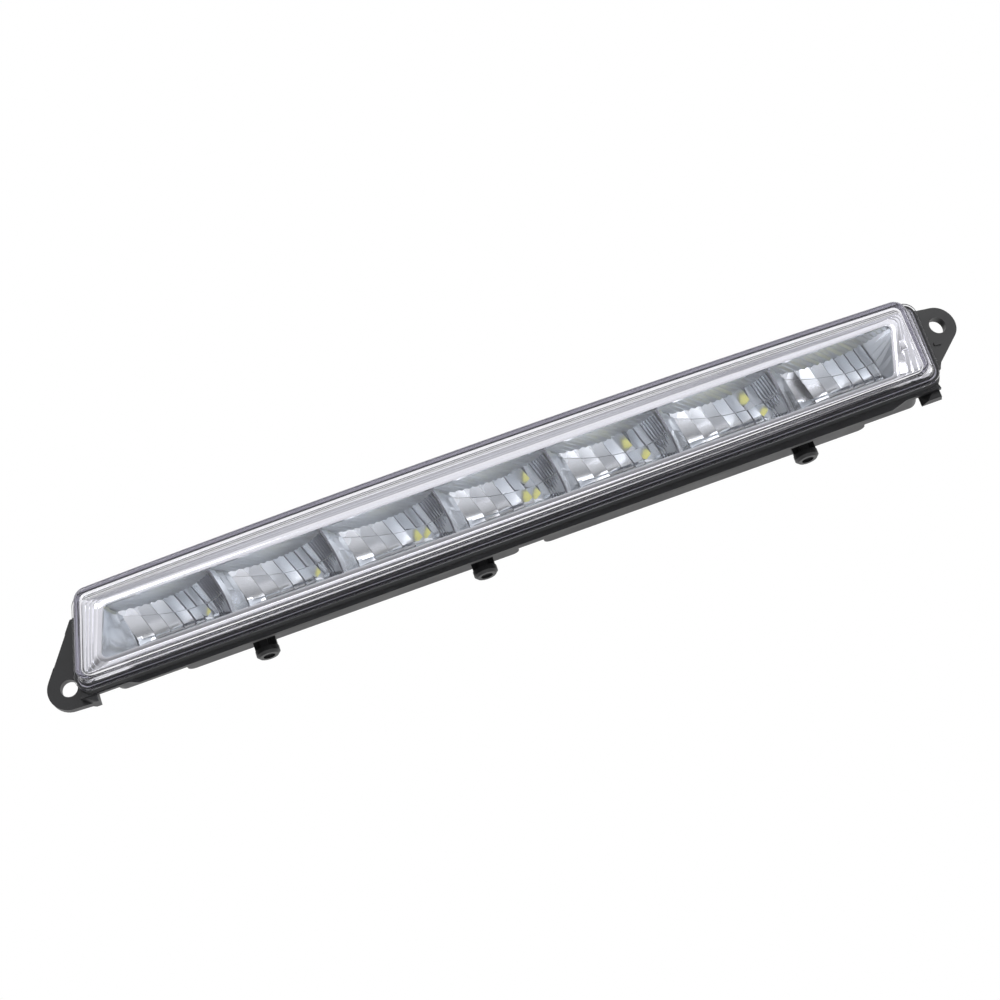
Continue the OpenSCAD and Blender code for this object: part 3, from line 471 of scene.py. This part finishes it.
for k in range(7):
    turn = radians(90) * k / 6
    inset = LENS_WALL + EDGE_R * (1 - cos(turn))
    lens_rings.append((lens_outline(1, -inset), back_y + EDGE_R * (1 - sin(turn))))
lens_rings.append((lens_outline(1, -14), back_y - 0.3))
lens_points, lens_faces = ring_bands(lens_rings, closed=False)
ring_size = len(lens_rings[0][0])
lens_faces.append(tuple(range(ring_size)))
last = (len(lens_rings) - 1) * ring_size
lens_faces.append(tuple(last + k for k in reversed(range(ring_size))))
lens = finished_mesh("lens_shell", lens_points, lens_faces, "clear_plastic")
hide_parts("outer_lens")
print("lens faces:", len(lens_faces), "volume:", volume_cm3(lens), "cm3")

# %% [markdown]
# ## The bezel, with its fine steps
#
# The photograph shows fine bright and dark lines that run round the opening. They are shallow
# steps in the slope between the opening's flat lip and the lens wall. Each step is a small rise
# along the slope, at a share of its width. The film of metal ends where the slope does: the foot
# and the back are masked while the part is coated, and stay black.

# %% Bezel
LIP_Y = FRONT_Y + LENS_WALL + 1.0
LIP_BACK_Y = LIP_Y + 1.4
LIP_W = 2.0
WALL_Y = SEAT_Y - 3
BEZEL_T = 1.4
foot_grow = -FLANGE_W - LENS_WALL - 0.3
foot_share = 3 / (SEAT_Y - FRONT_Y)
STEP_SHARES = (0.3, 0.52, 0.76)
STEP_W = 0.035
STEP_H = 0.28

lip_edge = open_outline(LIP_W + 0.3)
foot_edge = lens_outline(foot_share, foot_grow)
slope_start = LIP_Y + 0.6


def slope_ring(share, lift):
    """Ring on the bezel's slope, lifted towards the front."""
    return blended(lip_edge, foot_edge, share), slope_start + (WALL_Y - slope_start) * share - lift


bezel_rings = [
    (open_outline(0), LIP_BACK_Y),
    (open_outline(0), LIP_Y + 0.2),
    (open_outline(0.2), LIP_Y),
    (open_outline(LIP_W - 0.15), LIP_Y),
    (open_outline(LIP_W), LIP_Y + 0.08),
    slope_ring(0, 0),
]
for share in STEP_SHARES:
    bezel_rings.append(slope_ring(share - STEP_W, 0))
    bezel_rings.append(slope_ring(share - STEP_W * 0.3, STEP_H))
    bezel_rings.append(slope_ring(share + STEP_W * 0.3, STEP_H))
    bezel_rings.append(slope_ring(share + STEP_W * 1.4, 0))
bezel_rings += [
    slope_ring(1, 0),
    (lens_outline(0, foot_grow), SEAT_Y),
    (lens_outline(0, foot_grow - BEZEL_T), SEAT_Y),
    (lens_outline(foot_share, foot_grow - BEZEL_T), WALL_Y + 0.8),
    (open_outline(LIP_W - 0.3), LIP_BACK_Y),
]
bezel_points, bezel_faces = ring_bands(bezel_rings, closed=True)
coated_bands = len(bezel_rings) - 5
bezel = finished_mesh("bezel_fine", bezel_points, bezel_faces, "metallised")
bezel.data.materials.append(finishes["black_plastic"])
for face in bezel.data.polygons:
    face.material_index = int(face.index >= coated_bands * len(lip_edge))
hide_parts("bezel")
print("bezel faces:", len(bezel_faces), "volume:", volume_cm3(bezel), "cm3")

# %% [markdown]
# ## The bezel's clip
#
# A small rounded block stands on the right slope of the bezel, where it snaps into place.

# %% The bezel's clip
CLIP_SIZE = Vector((2.6, 1.7, 4.4))
CLIP_CORNER = Vector((OPEN_RIGHT + 7, LIP_Y + 1.1, OPEN_LOW + 9))
CLIP_ROUND = 0.4


def rounded_block(name, corner, size, radius, slot_name):
    """A block with rounded edges, from its lowest corner and its size."""
    shape = bmesh.new()
    bmesh.ops.create_cube(shape, size=1)
    for v in shape.verts:
        v.co = corner + size * 0.5 + Vector(c * d for c, d in zip(v.co, size))
    bmesh.ops.bevel(shape, geom=shape.edges, offset=radius, segments=3, profile=0.5, affect="EDGES")
    points = [v.co.copy() for v in shape.verts]
    faces = [tuple(v.index for v in f.verts) for f in shape.faces]
    shape.free()
    return finished_mesh(name, points, faces, slot_name)


clip = rounded_block("bezel_clip", CLIP_CORNER, CLIP_SIZE, CLIP_ROUND, "metallised")
print("clip volume:", volume_cm3(clip), "cm3")

# %% [markdown]
# ## The mirrors' facets
#
# Each cell is a paraboloid whose light source sits at its focus and whose axis points the beam
# towards the middle of the car. It is cut into upright strips in two rows. The solids hold the
# strips' borders. Here each strip becomes a smooth surface of its own that stands a little
# in front of the solid: it bulges slightly, leans, and turns a little against its neighbours,
# and its foot turns up to a bright ledge. A few strips are turned so far that their yellow light
# source shows in them from the front. The wall that leads back to each cell from its left is
# pleated. The turns follow a fixed rule, so every render gives the same picture.

# %% Facets
CELLS = 7
CELL_PITCH = 46.2
FIRST_LED = 51.2
LED_Y = 8.4
LED_Z = 8.0
AIM = radians(20)
FOCAL = 8.5
FACETS = 10
DIVIDER_W = 2.2
FACET_STEP = 0.7
STEP_Z, STEP_FALL = OPEN_HIGH - 3, 4.0
MIRROR_Y = LIP_BACK_Y + 0.1
CEILING_RISE = 0.14
SHELF_SLOPE = 0.387
SHELF_TOP = 7.5
FRONT_GAP = 0.3
PILLOW = 0.07
PILLOW_SPAN = 5
CROWDING = 1.3
BELOW_SIGHT = 1.5
OVERLAP = 0.5
CEILING_BACK_Z = OPEN_HIGH + 3
LEAN = 0.12
TURN_ACROSS = 0.035
TURN_UP = 0.04
SAW = 0.6
STRIP_T = 0.8
GLINT_FORWARD = 0.7
GLINT_SHARE = 0.86
GLINT_RISE = 2.6
GLINT_DROP = 1.2
FIRST_GLINT = 4
# For a row and a strip's number, the cells in which that strip shows the light source
GLINTS = {(0, 5): (0, 1, 2, 3, 4), (0, 4): (2, 3), (1, 5): (3, 5), (1, 4): (4,), (0, 6): (5,)}
FOOT_H = 0.9
FOOT_OUT = 0.55
FOOT_LIMIT = 1.5
FLUTES = 6
PLEATS = 3
PLEAT_LOW, PLEAT_HIGH, PLEAT_T = 0.2, 0.95, 0.8
PLEAT_LIFT, PLEAT_OVERLAP = 0.1, 0.3
LAND_GAP = 0.3
DIVIDER_LOW_Y, DIVIDER_HIGH_Y = SEAT_Y + 3.2, SEAT_Y - 4.6
SPAN_STEPS = 6
RISE_STEPS = 10
half_cell = CELL_PITCH * cos(AIM) / 2


def facet_s(j):
    """Border j of the facets, closer together towards the right."""
    return -half_cell + (2 * half_cell - DIVIDER_W) * (1 - (1 - j / FACETS) ** CROWDING)


def dish(s, z):
    """Depth of the paraboloid along the beam."""
    return FOCAL - (s * s + (z - LED_Z) ** 2) / (4 * FOCAL)


def cell_point(cell, s, t, z):
    """A place in a cell, at s across its beam, t along the beam and a height z."""
    x = FIRST_LED + cell * CELL_PITCH + s * cos(AIM) + t * sin(AIM)
    return Vector((x, LED_Y - s * sin(AIM) + t * cos(AIM), z))


def ceiling_at(y):
    """Height of the ceiling over the mirrors at a depth."""
    return OPEN_HIGH + CEILING_RISE * (y - MIRROR_Y)


def sight_line(y):
    """Height below which the bezel's lip hides the mirrors from the photo's camera."""
    return OPEN_LOW + tan(VIEW_BELOW) * (y - LIP_Y)


def shows_source(cell, number, row):
    """Whether a strip is turned so that its light source shows in it from the front and below."""
    return cell in GLINTS.get((row, number), ())


def glint_slopes(cell, s, t, z):
    """Slopes across and up of a mirror that shows the light source to the photo's camera."""
    source = Vector((FIRST_LED + cell * CELL_PITCH, LED_Y, LED_Z))
    to_camera = Vector((0, -cos(VIEW_BELOW), -sin(VIEW_BELOW)))
    normal = (source - cell_point(cell, s, t, z)).normalized() + to_camera
    across = normal.x * cos(AIM) - normal.y * sin(AIM)
    along = normal.x * sin(AIM) + normal.y * cos(AIM)
    return -across / along, -normal.z / along


def rule(k):
    """A number from -1 to 1 that jumps from one k to the next, the same in every run."""
    return 2 * ((k * 0.6180339887) % 1) - 1


steep = []


def add_slab(front, back, points, faces):
    """Adds a closed slab between two equal grids of points, and notes its steep side faces."""
    start, columns, rows = len(points), len(front), len(front[0])
    size = columns * rows
    for column in front + back:
        points.extend(column)
    for a in range(columns - 1):
        for b in range(rows - 1):
            p = start + a * rows + b
            faces.append((p, p + rows, p + rows + 1, p + 1))
            faces.append(tuple(size + k for k in (p, p + 1, p + rows + 1, p + rows)))
    rim = [a * rows for a in range(columns)]
    rim += [size - rows + b for b in range(1, rows)]
    rim += [a * rows + rows - 1 for a in range(columns - 2, -1, -1)]
    rim += list(range(rows - 2, 0, -1))
    steep.extend(range(len(faces), len(faces) + len(rim)))
    for here, after in zip(rim, rim[1:] + rim[:1]):
        here, after = start + here, start + after
        faces.append((here, here + size, after + size, after))


def strip(cell, s0, s1, row, number, points, faces):
    """One facet strip, as a thin closed slab."""
    front, back = [], []
    turn_across = TURN_ACROSS * rule(number * 3 + cell * 7 + row * 5 + 1)
    turn_up = TURN_UP * rule(number * 5 + cell * 3 + row * 11 + 2)
    middle = (s0 + s1) / 2
    turned = shows_source(cell, number, row)
    if turned:
        glint_s = s0 + GLINT_SHARE * (s1 - s0)
        glint_z = STEP_Z + (GLINT_RISE if row else -GLINT_RISE - GLINT_DROP * (number - FIRST_GLINT))
        glint_t = dish(middle, glint_z) - FRONT_GAP - GLINT_FORWARD - row * FACET_STEP
        slope_s, slope_z = glint_slopes(cell, glint_s, glint_t, glint_z)
    for a in range(SPAN_STEPS + 1):
        u = a / SPAN_STEPS
        front.append([])
        back.append([])
        s_flat = s0 + (s1 - s0) * u
        split = STEP_Z - STEP_FALL * s_flat / half_cell
        depth = cell_point(cell, s_flat, dish(s_flat, LED_Z), 0).y
        low = max(sight_line(depth) - BELOW_SIGHT, SHELF_TOP - OVERLAP)
        far_y = cell_point(cell, s_flat, dish(s_flat, CEILING_BACK_Z), 0).y
        z0, z1 = (low, split) if row == 0 else (split, ceiling_at(far_y) + OVERLAP)
        for b in range(RISE_STEPS + 1):
            z = z0 + (z1 - z0) * b / RISE_STEPS
            s = s_flat + LEAN * (STEP_Z - z)
            chord = dish(s0, z) + (dish(s1, z) - dish(s0, z)) * u
            t = chord - FRONT_GAP - row * FACET_STEP
            t -= PILLOW * 4 * u * (1 - u) * (s1 - s0) / PILLOW_SPAN
            t += turn_across * (s_flat - middle) + turn_up * (z - (z0 + z1) / 2) - SAW * u
            if turned:
                t = glint_t + slope_s * (s - glint_s) + slope_z * (z - glint_z)
            if row == 0:
                foot = max(0.0, 1 - (z - low - BELOW_SIGHT) / FOOT_H)
                t -= FOOT_OUT * min(foot, FOOT_LIMIT) ** 2
            front[a].append(cell_point(cell, s, t, z))
            back[a].append(cell_point(cell, s, t + STRIP_T, z))
    add_slab(front, back, points, faces)


def divider_edge(cell, up, z):
    """Front edge of the divider before a cell, which falls back towards its foot."""
    edge_y = DIVIDER_LOW_Y + (DIVIDER_HIGH_Y - DIVIDER_LOW_Y) * up * up
    return cell_point(cell - 1, half_cell, (edge_y - LED_Y + half_cell * sin(AIM)) / cos(AIM), z)


def left_edge(z):
    """Left end of the reflector, which leans as the bezel's opening does."""
    return Vector((OPEN_LEFT - LAND_GAP + (z - OPEN_LOW) * tan(OPEN_LEAN), MIRROR_Y, z))


def side_pleats(cell, points, faces):
    """Upright pleats on the wall that leads back to a cell from its left."""
    front, back = [], []
    first = cell == 0
    edge_low_y, edge_high_y = (MIRROR_Y, MIRROR_Y) if first else (DIVIDER_LOW_Y, DIVIDER_HIGH_Y)
    low = OPEN_LOW + PLEAT_LIFT + SHELF_SLOPE * (edge_low_y - MIRROR_Y)
    high = ceiling_at(edge_high_y) + PLEAT_OVERLAP
    for a in range(2 * PLEATS + 1):
        out = PLEAT_HIGH if a % 2 else PLEAT_LOW
        front.append([])
        back.append([])
        for b in range(RISE_STEPS + 1):
            up = b / RISE_STEPS
            z = low + (high - low) * up
            edge = left_edge(z) if first else divider_edge(cell, up, z)
            foot = cell_point(cell, -half_cell, dish(-half_cell, z), z)
            along = foot - edge
            side = Vector((along.y, -along.x, 0)).normalized()
            place = edge.lerp(foot, a / (2 * PLEATS))
            front[a].append(place + side * out)
            back[a].append(place + side * (out - PLEAT_T))
    add_slab(front, back, points, faces)


def strip_borders(last):
    """Borders of the strips: the wide facets, then flutes up to the last border."""
    wide = [facet_s(j) for j in range(min(last, FACETS - 3) + 1)]
    if last <= FACETS - 3:
        return wide
    return wide + [
        wide[-1] + (facet_s(last) - wide[-1]) * (k + 1) / FLUTES for k in range(FLUTES)
    ]


facet_points, facet_faces = [], []
for cell in range(CELLS):
    last = FACETS if cell < CELLS - 1 else FACETS - 3
    borders = strip_borders(last)
    for number, (s0, s1) in enumerate(zip(borders, borders[1:])):
        for row in (0, 1):
            strip(cell, s0, s1, row, number, facet_points, facet_faces)
    side_pleats(cell, facet_points, facet_faces)
mirrors = finished_mesh("mirror_facets", facet_points, facet_faces, "metallised")
mirrors.data.materials[0] = facet_mirror
# The steep side faces take the dark metal of painted shade.
mirrors.data.materials.append(painted_step_shade)
for k in steep:
    mirrors.data.polygons[k].material_index = 1
print("facet quads:", len(facet_faces), "volume:", volume_cm3(mirrors), "cm3")

# %% [markdown]
# ## Beads in a row
#
# Each light source carries a dome of yellow phosphor, and is held to the board by two small beads
# of solder. Seven cells times a shape is work for Geometry Nodes: a line of points, one for each
# cell, a short line on each of them for what a cell holds more than once, and one flattened
# sphere on every point. The same tree makes the domes and the solder with other inputs.

# %% A tree for beads in a row
BEAD_INPUTS = {
    "Cells": "NodeSocketInt", "Pitch": "NodeSocketVector", "Start": "NodeSocketVector",
    "Per Cell": "NodeSocketInt", "Spacing": "NodeSocketVector", "Half Size": "NodeSocketVector",
    "Segments": "NodeSocketInt", "Finish": "NodeSocketMaterial",
}


def bead_tree():
    """The Geometry Nodes tree that puts a flattened sphere on each point of a row of short rows."""
    tree = bpy.data.node_groups.new("beads_in_a_row", "GeometryNodeTree")
    tree.is_modifier = True
    for name, kind in BEAD_INPUTS.items():
        tree.interface.new_socket(name=name, in_out="INPUT", socket_type=kind)
    tree.interface.new_socket(name="Geometry", in_out="OUTPUT", socket_type="NodeSocketGeometry")
    given = tree.nodes.new("NodeGroupInput").outputs
    link = tree.links.new

    cells = tree.nodes.new("GeometryNodeMeshLine")
    link(given["Cells"], cells.inputs["Count"])
    link(given["Start"], cells.inputs["Start Location"])
    link(given["Pitch"], cells.inputs["Offset"])

    group = tree.nodes.new("GeometryNodeMeshLine")
    link(given["Per Cell"], group.inputs["Count"])
    link(given["Spacing"], group.inputs["Offset"])

    places = tree.nodes.new("GeometryNodeInstanceOnPoints")
    link(cells.outputs["Mesh"], places.inputs["Points"])
    link(group.outputs["Mesh"], places.inputs["Instance"])
    all_places = tree.nodes.new("GeometryNodeRealizeInstances")
    link(places.outputs["Instances"], all_places.inputs["Geometry"])

    ball = tree.nodes.new("GeometryNodeMeshUVSphere")
    ball.inputs["Radius"].default_value = 1
    ball.inputs["Rings"].default_value = 10
    link(given["Segments"], ball.inputs["Segments"])
    smooth = tree.nodes.new("GeometryNodeSetShadeSmooth")
    link(ball.outputs["Mesh"], smooth.inputs["Geometry"])
    beads = tree.nodes.new("GeometryNodeInstanceOnPoints")
    link(all_places.outputs["Geometry"], beads.inputs["Points"])
    link(smooth.outputs["Geometry"], beads.inputs["Instance"])
    link(given["Half Size"], beads.inputs["Scale"])

    solid = tree.nodes.new("GeometryNodeRealizeInstances")
    link(beads.outputs["Instances"], solid.inputs["Geometry"])
    finish = tree.nodes.new("GeometryNodeSetMaterial")
    link(solid.outputs["Geometry"], finish.inputs["Geometry"])
    link(given["Finish"], finish.inputs["Material"])
    result = tree.nodes.new("NodeGroupOutput")
    link(finish.outputs["Geometry"], result.inputs["Geometry"])
    return tree


def baked(name, tree, values):
    """The mesh that a tree makes with the given inputs, as a plain object in a record's slot."""
    holder = bpy.data.objects.new(name + "_tree", bpy.data.meshes.new(name + "_tree"))
    bpy.context.scene.collection.objects.link(holder)
    modifier = holder.modifiers.new("tree", "NODES")
    modifier.node_group = tree
    for socket in tree.interface.items_tree:
        if socket.in_out == "INPUT":
            modifier[socket.identifier] = values[socket.name]
    view = bpy.context.evaluated_depsgraph_get()
    mesh = bpy.data.meshes.new_from_object(holder.evaluated_get(view))
    mesh.name = name
    bpy.data.objects.remove(holder)
    piece = bpy.data.objects.new(name, mesh)
    bpy.context.scene.collection.objects.link(piece)
    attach(piece, "root")
    return piece


beads_in_a_row = bead_tree()
print("tree inputs:", ", ".join(BEAD_INPUTS))

# %% Phosphor domes and solder
LED_SIDE = 3.5
BOARD_TOP = LED_Z - 1.6
WELL_R = LED_SIDE * 0.36
DOME_HALF = (WELL_R * 0.97, WELL_R * 0.97, 0.26)
SOLDER_HALF = (0.36, 1.2, 0.16)
SOLDER_OUT = LED_SIDE / 2 + SOLDER_HALF[0]

domes = baked("phosphor_domes", beads_in_a_row, {
    "Cells": CELLS, "Pitch": Vector((CELL_PITCH, 0, 0)) * MM,
    "Start": Vector((FIRST_LED, LED_Y, LED_Z - 0.2 + DOME_HALF[2])) * MM,
    "Per Cell": 1, "Spacing": Vector((0, 0, 0)), "Half Size": Vector(DOME_HALF) * MM,
    "Segments": 24, "Finish": finishes["phosphor"],
})
solder = baked("solder_beads", beads_in_a_row, {
    "Cells": CELLS, "Pitch": Vector((CELL_PITCH, 0, 0)) * MM,
    "Start": Vector((FIRST_LED - SOLDER_OUT, LED_Y, BOARD_TOP + SOLDER_HALF[2])) * MM,
    "Per Cell": 2, "Spacing": Vector((2 * SOLDER_OUT, 0, 0)) * MM,
    "Half Size": Vector(SOLDER_HALF) * MM,
    "Segments": 16, "Finish": finishes["can"],
})
print("dome and solder faces:", len(domes.data.polygons), len(solder.data.polygons))

# %% [markdown]
# ## The camera
#
# The photograph looks at the lamp from the front and from below, from about a metre away. The
# picture is turned, so that the lamp's right end points up. The camera sits on a line through the
# middle of the lamp and is rolled by that turn. A very small shift puts the lamp where it
# lies in the frame.

# %% Camera
VIEW_DISTANCE = 1.05
VIEW_ROLL = radians(19.7)
PIXELS_PER_MM = 2.57
IMAGE_SIZE = 1000
SENSOR = 36.0
AIM_POINT = Vector((0.181, -0.008, 0.014))

towards = Vector((0, cos(VIEW_BELOW), sin(VIEW_BELOW)))
camera_data = bpy.data.cameras.new("camera")
camera_data.sensor_width = SENSOR
camera_data.lens = SENSOR * PIXELS_PER_MM * VIEW_DISTANCE / MM / IMAGE_SIZE
camera_data.shift_x = 0.0054
camera_data.shift_y = -0.0041
camera = bpy.data.objects.new("camera", camera_data)
bpy.context.scene.collection.objects.link(camera)
look = towards.to_track_quat("-Z", "Y").to_matrix().to_4x4()
roll = Matrix.Rotation(-VIEW_ROLL, 4, "Z")
camera.matrix_world = Matrix.Translation(AIM_POINT - towards * VIEW_DISTANCE) @ look @ roll
bpy.context.scene.camera = camera
print("lens in mm:", round(camera_data.lens, 1))

# %% [markdown]
# ## The studio
#
# Product photographs on white are lit by wide soft boxes. The camera sees plain white. Every other
# ray sees a studio that depends only on its direction: white behind the lamp, and in front
# of it a grey room that gets lighter overhead. A mirror shows that room, so its shades decide
# how the chrome looks.

# %% World and lamps
ROOM_STOPS = [
    (0.0, 0.8), (0.3, 0.6), (0.44, 0.24), (0.54, 0.28), (0.66, 0.7), (0.8, 1.0), (1.0, 1.0),
]
BACK_START, BACK_END = -0.05, 0.25
SIDE_SHADE = 0.2

world = bpy.data.worlds.new("studio")
bpy.context.scene.world = world
world.use_nodes = True
sky = world.node_tree
sky.nodes.clear()


def sky_node(kind, **values):
    """A node of the world's tree, with properties set by name."""
    node = sky.nodes.new(kind)
    for key, value in values.items():
        setattr(node, key, value)
    return node


direction = sky_node("ShaderNodeTexCoord")
parts = sky_node("ShaderNodeSeparateXYZ")
sky.links.new(direction.outputs["Generated"], parts.inputs["Vector"])

height = sky_node("ShaderNodeMapRange")
height.inputs["From Min"].default_value = -1
sky.links.new(parts.outputs["Z"], height.inputs["Value"])
room = sky_node("ShaderNodeValToRGB")
for place, _ in ROOM_STOPS[1:-1]:
    room.color_ramp.elements.new(place)
for element, (place, shade) in zip(room.color_ramp.elements, ROOM_STOPS):
    element.position = place
    element.color = (shade, shade * 1.005, shade * 1.02, 1)
sky.links.new(height.outputs["Result"], room.inputs["Fac"])

side = sky_node("ShaderNodeMapRange")
side.inputs["From Min"].default_value = -1
side.inputs["To Min"].default_value = 1 - SIDE_SHADE
side.inputs["To Max"].default_value = 1 + SIDE_SHADE
sky.links.new(parts.outputs["X"], side.inputs["Value"])
shaded = sky_node("ShaderNodeVectorMath", operation="SCALE")
sky.links.new(room.outputs["Color"], shaded.inputs[0])
sky.links.new(side.outputs["Result"], shaded.inputs["Scale"])

behind = sky_node("ShaderNodeMapRange", interpolation_type="SMOOTHSTEP")
behind.inputs["From Min"].default_value = BACK_START
behind.inputs["From Max"].default_value = BACK_END
sky.links.new(parts.outputs["Y"], behind.inputs["Value"])
all_round = sky_node("ShaderNodeMix", data_type="RGBA")
sky.links.new(behind.outputs["Result"], all_round.inputs["Factor"])
sky.links.new(shaded.outputs["Vector"], all_round.inputs["A"])
all_round.inputs["B"].default_value = (1, 1, 1, 1)

room_light = sky_node("ShaderNodeBackground")
plain_white = sky_node("ShaderNodeBackground")
plain_white.inputs["Color"].default_value = (1, 1, 1, 1)
sky.links.new(all_round.outputs["Result"], room_light.inputs["Color"])
path = sky_node("ShaderNodeLightPath")
mixer = sky_node("ShaderNodeMixShader")
output = sky_node("ShaderNodeOutputWorld")
sky.links.new(path.outputs["Is Camera Ray"], mixer.inputs["Fac"])
sky.links.new(room_light.outputs[0], mixer.inputs[1])
sky.links.new(plain_white.outputs[0], mixer.inputs[2])
sky.links.new(mixer.outputs[0], output.inputs["Surface"])


def soft_box(name, place, size, power, aim=AIM_POINT):
    """A rectangular area lamp at a place, turned towards the object."""
    lamp = bpy.data.lights.new(name, "AREA")
    lamp.shape = "RECTANGLE"
    lamp.size, lamp.size_y = size
    lamp.energy = power
    holder = bpy.data.objects.new(name, lamp)
    holder.location = place
    holder.rotation_euler = (Vector(aim) - Vector(place)).to_track_quat("-Z", "Y").to_euler()
    bpy.context.scene.collection.objects.link(holder)
    return holder


soft_box("key", (-0.5, -0.9, 1.0), (0.9, 0.5), 6)
soft_box("fill", (1.0, -0.8, 0.3), (0.6, 0.6), 2)
soft_box("low", (0.2, -0.7, -0.9), (1.2, 0.3), 2)

# %% [markdown]
# ## Colour and light paths
#
# The Standard view keeps plain white white. The clear shell has many walls in a row, so rays may
# pass through more of them than usual before they stop.

# %% Colour management and light paths
scene = bpy.context.scene
scene.view_settings.view_transform = "Standard"
scene.cycles.max_bounces = 24
scene.cycles.glossy_bounces = 10
scene.cycles.transmission_bounces = 16
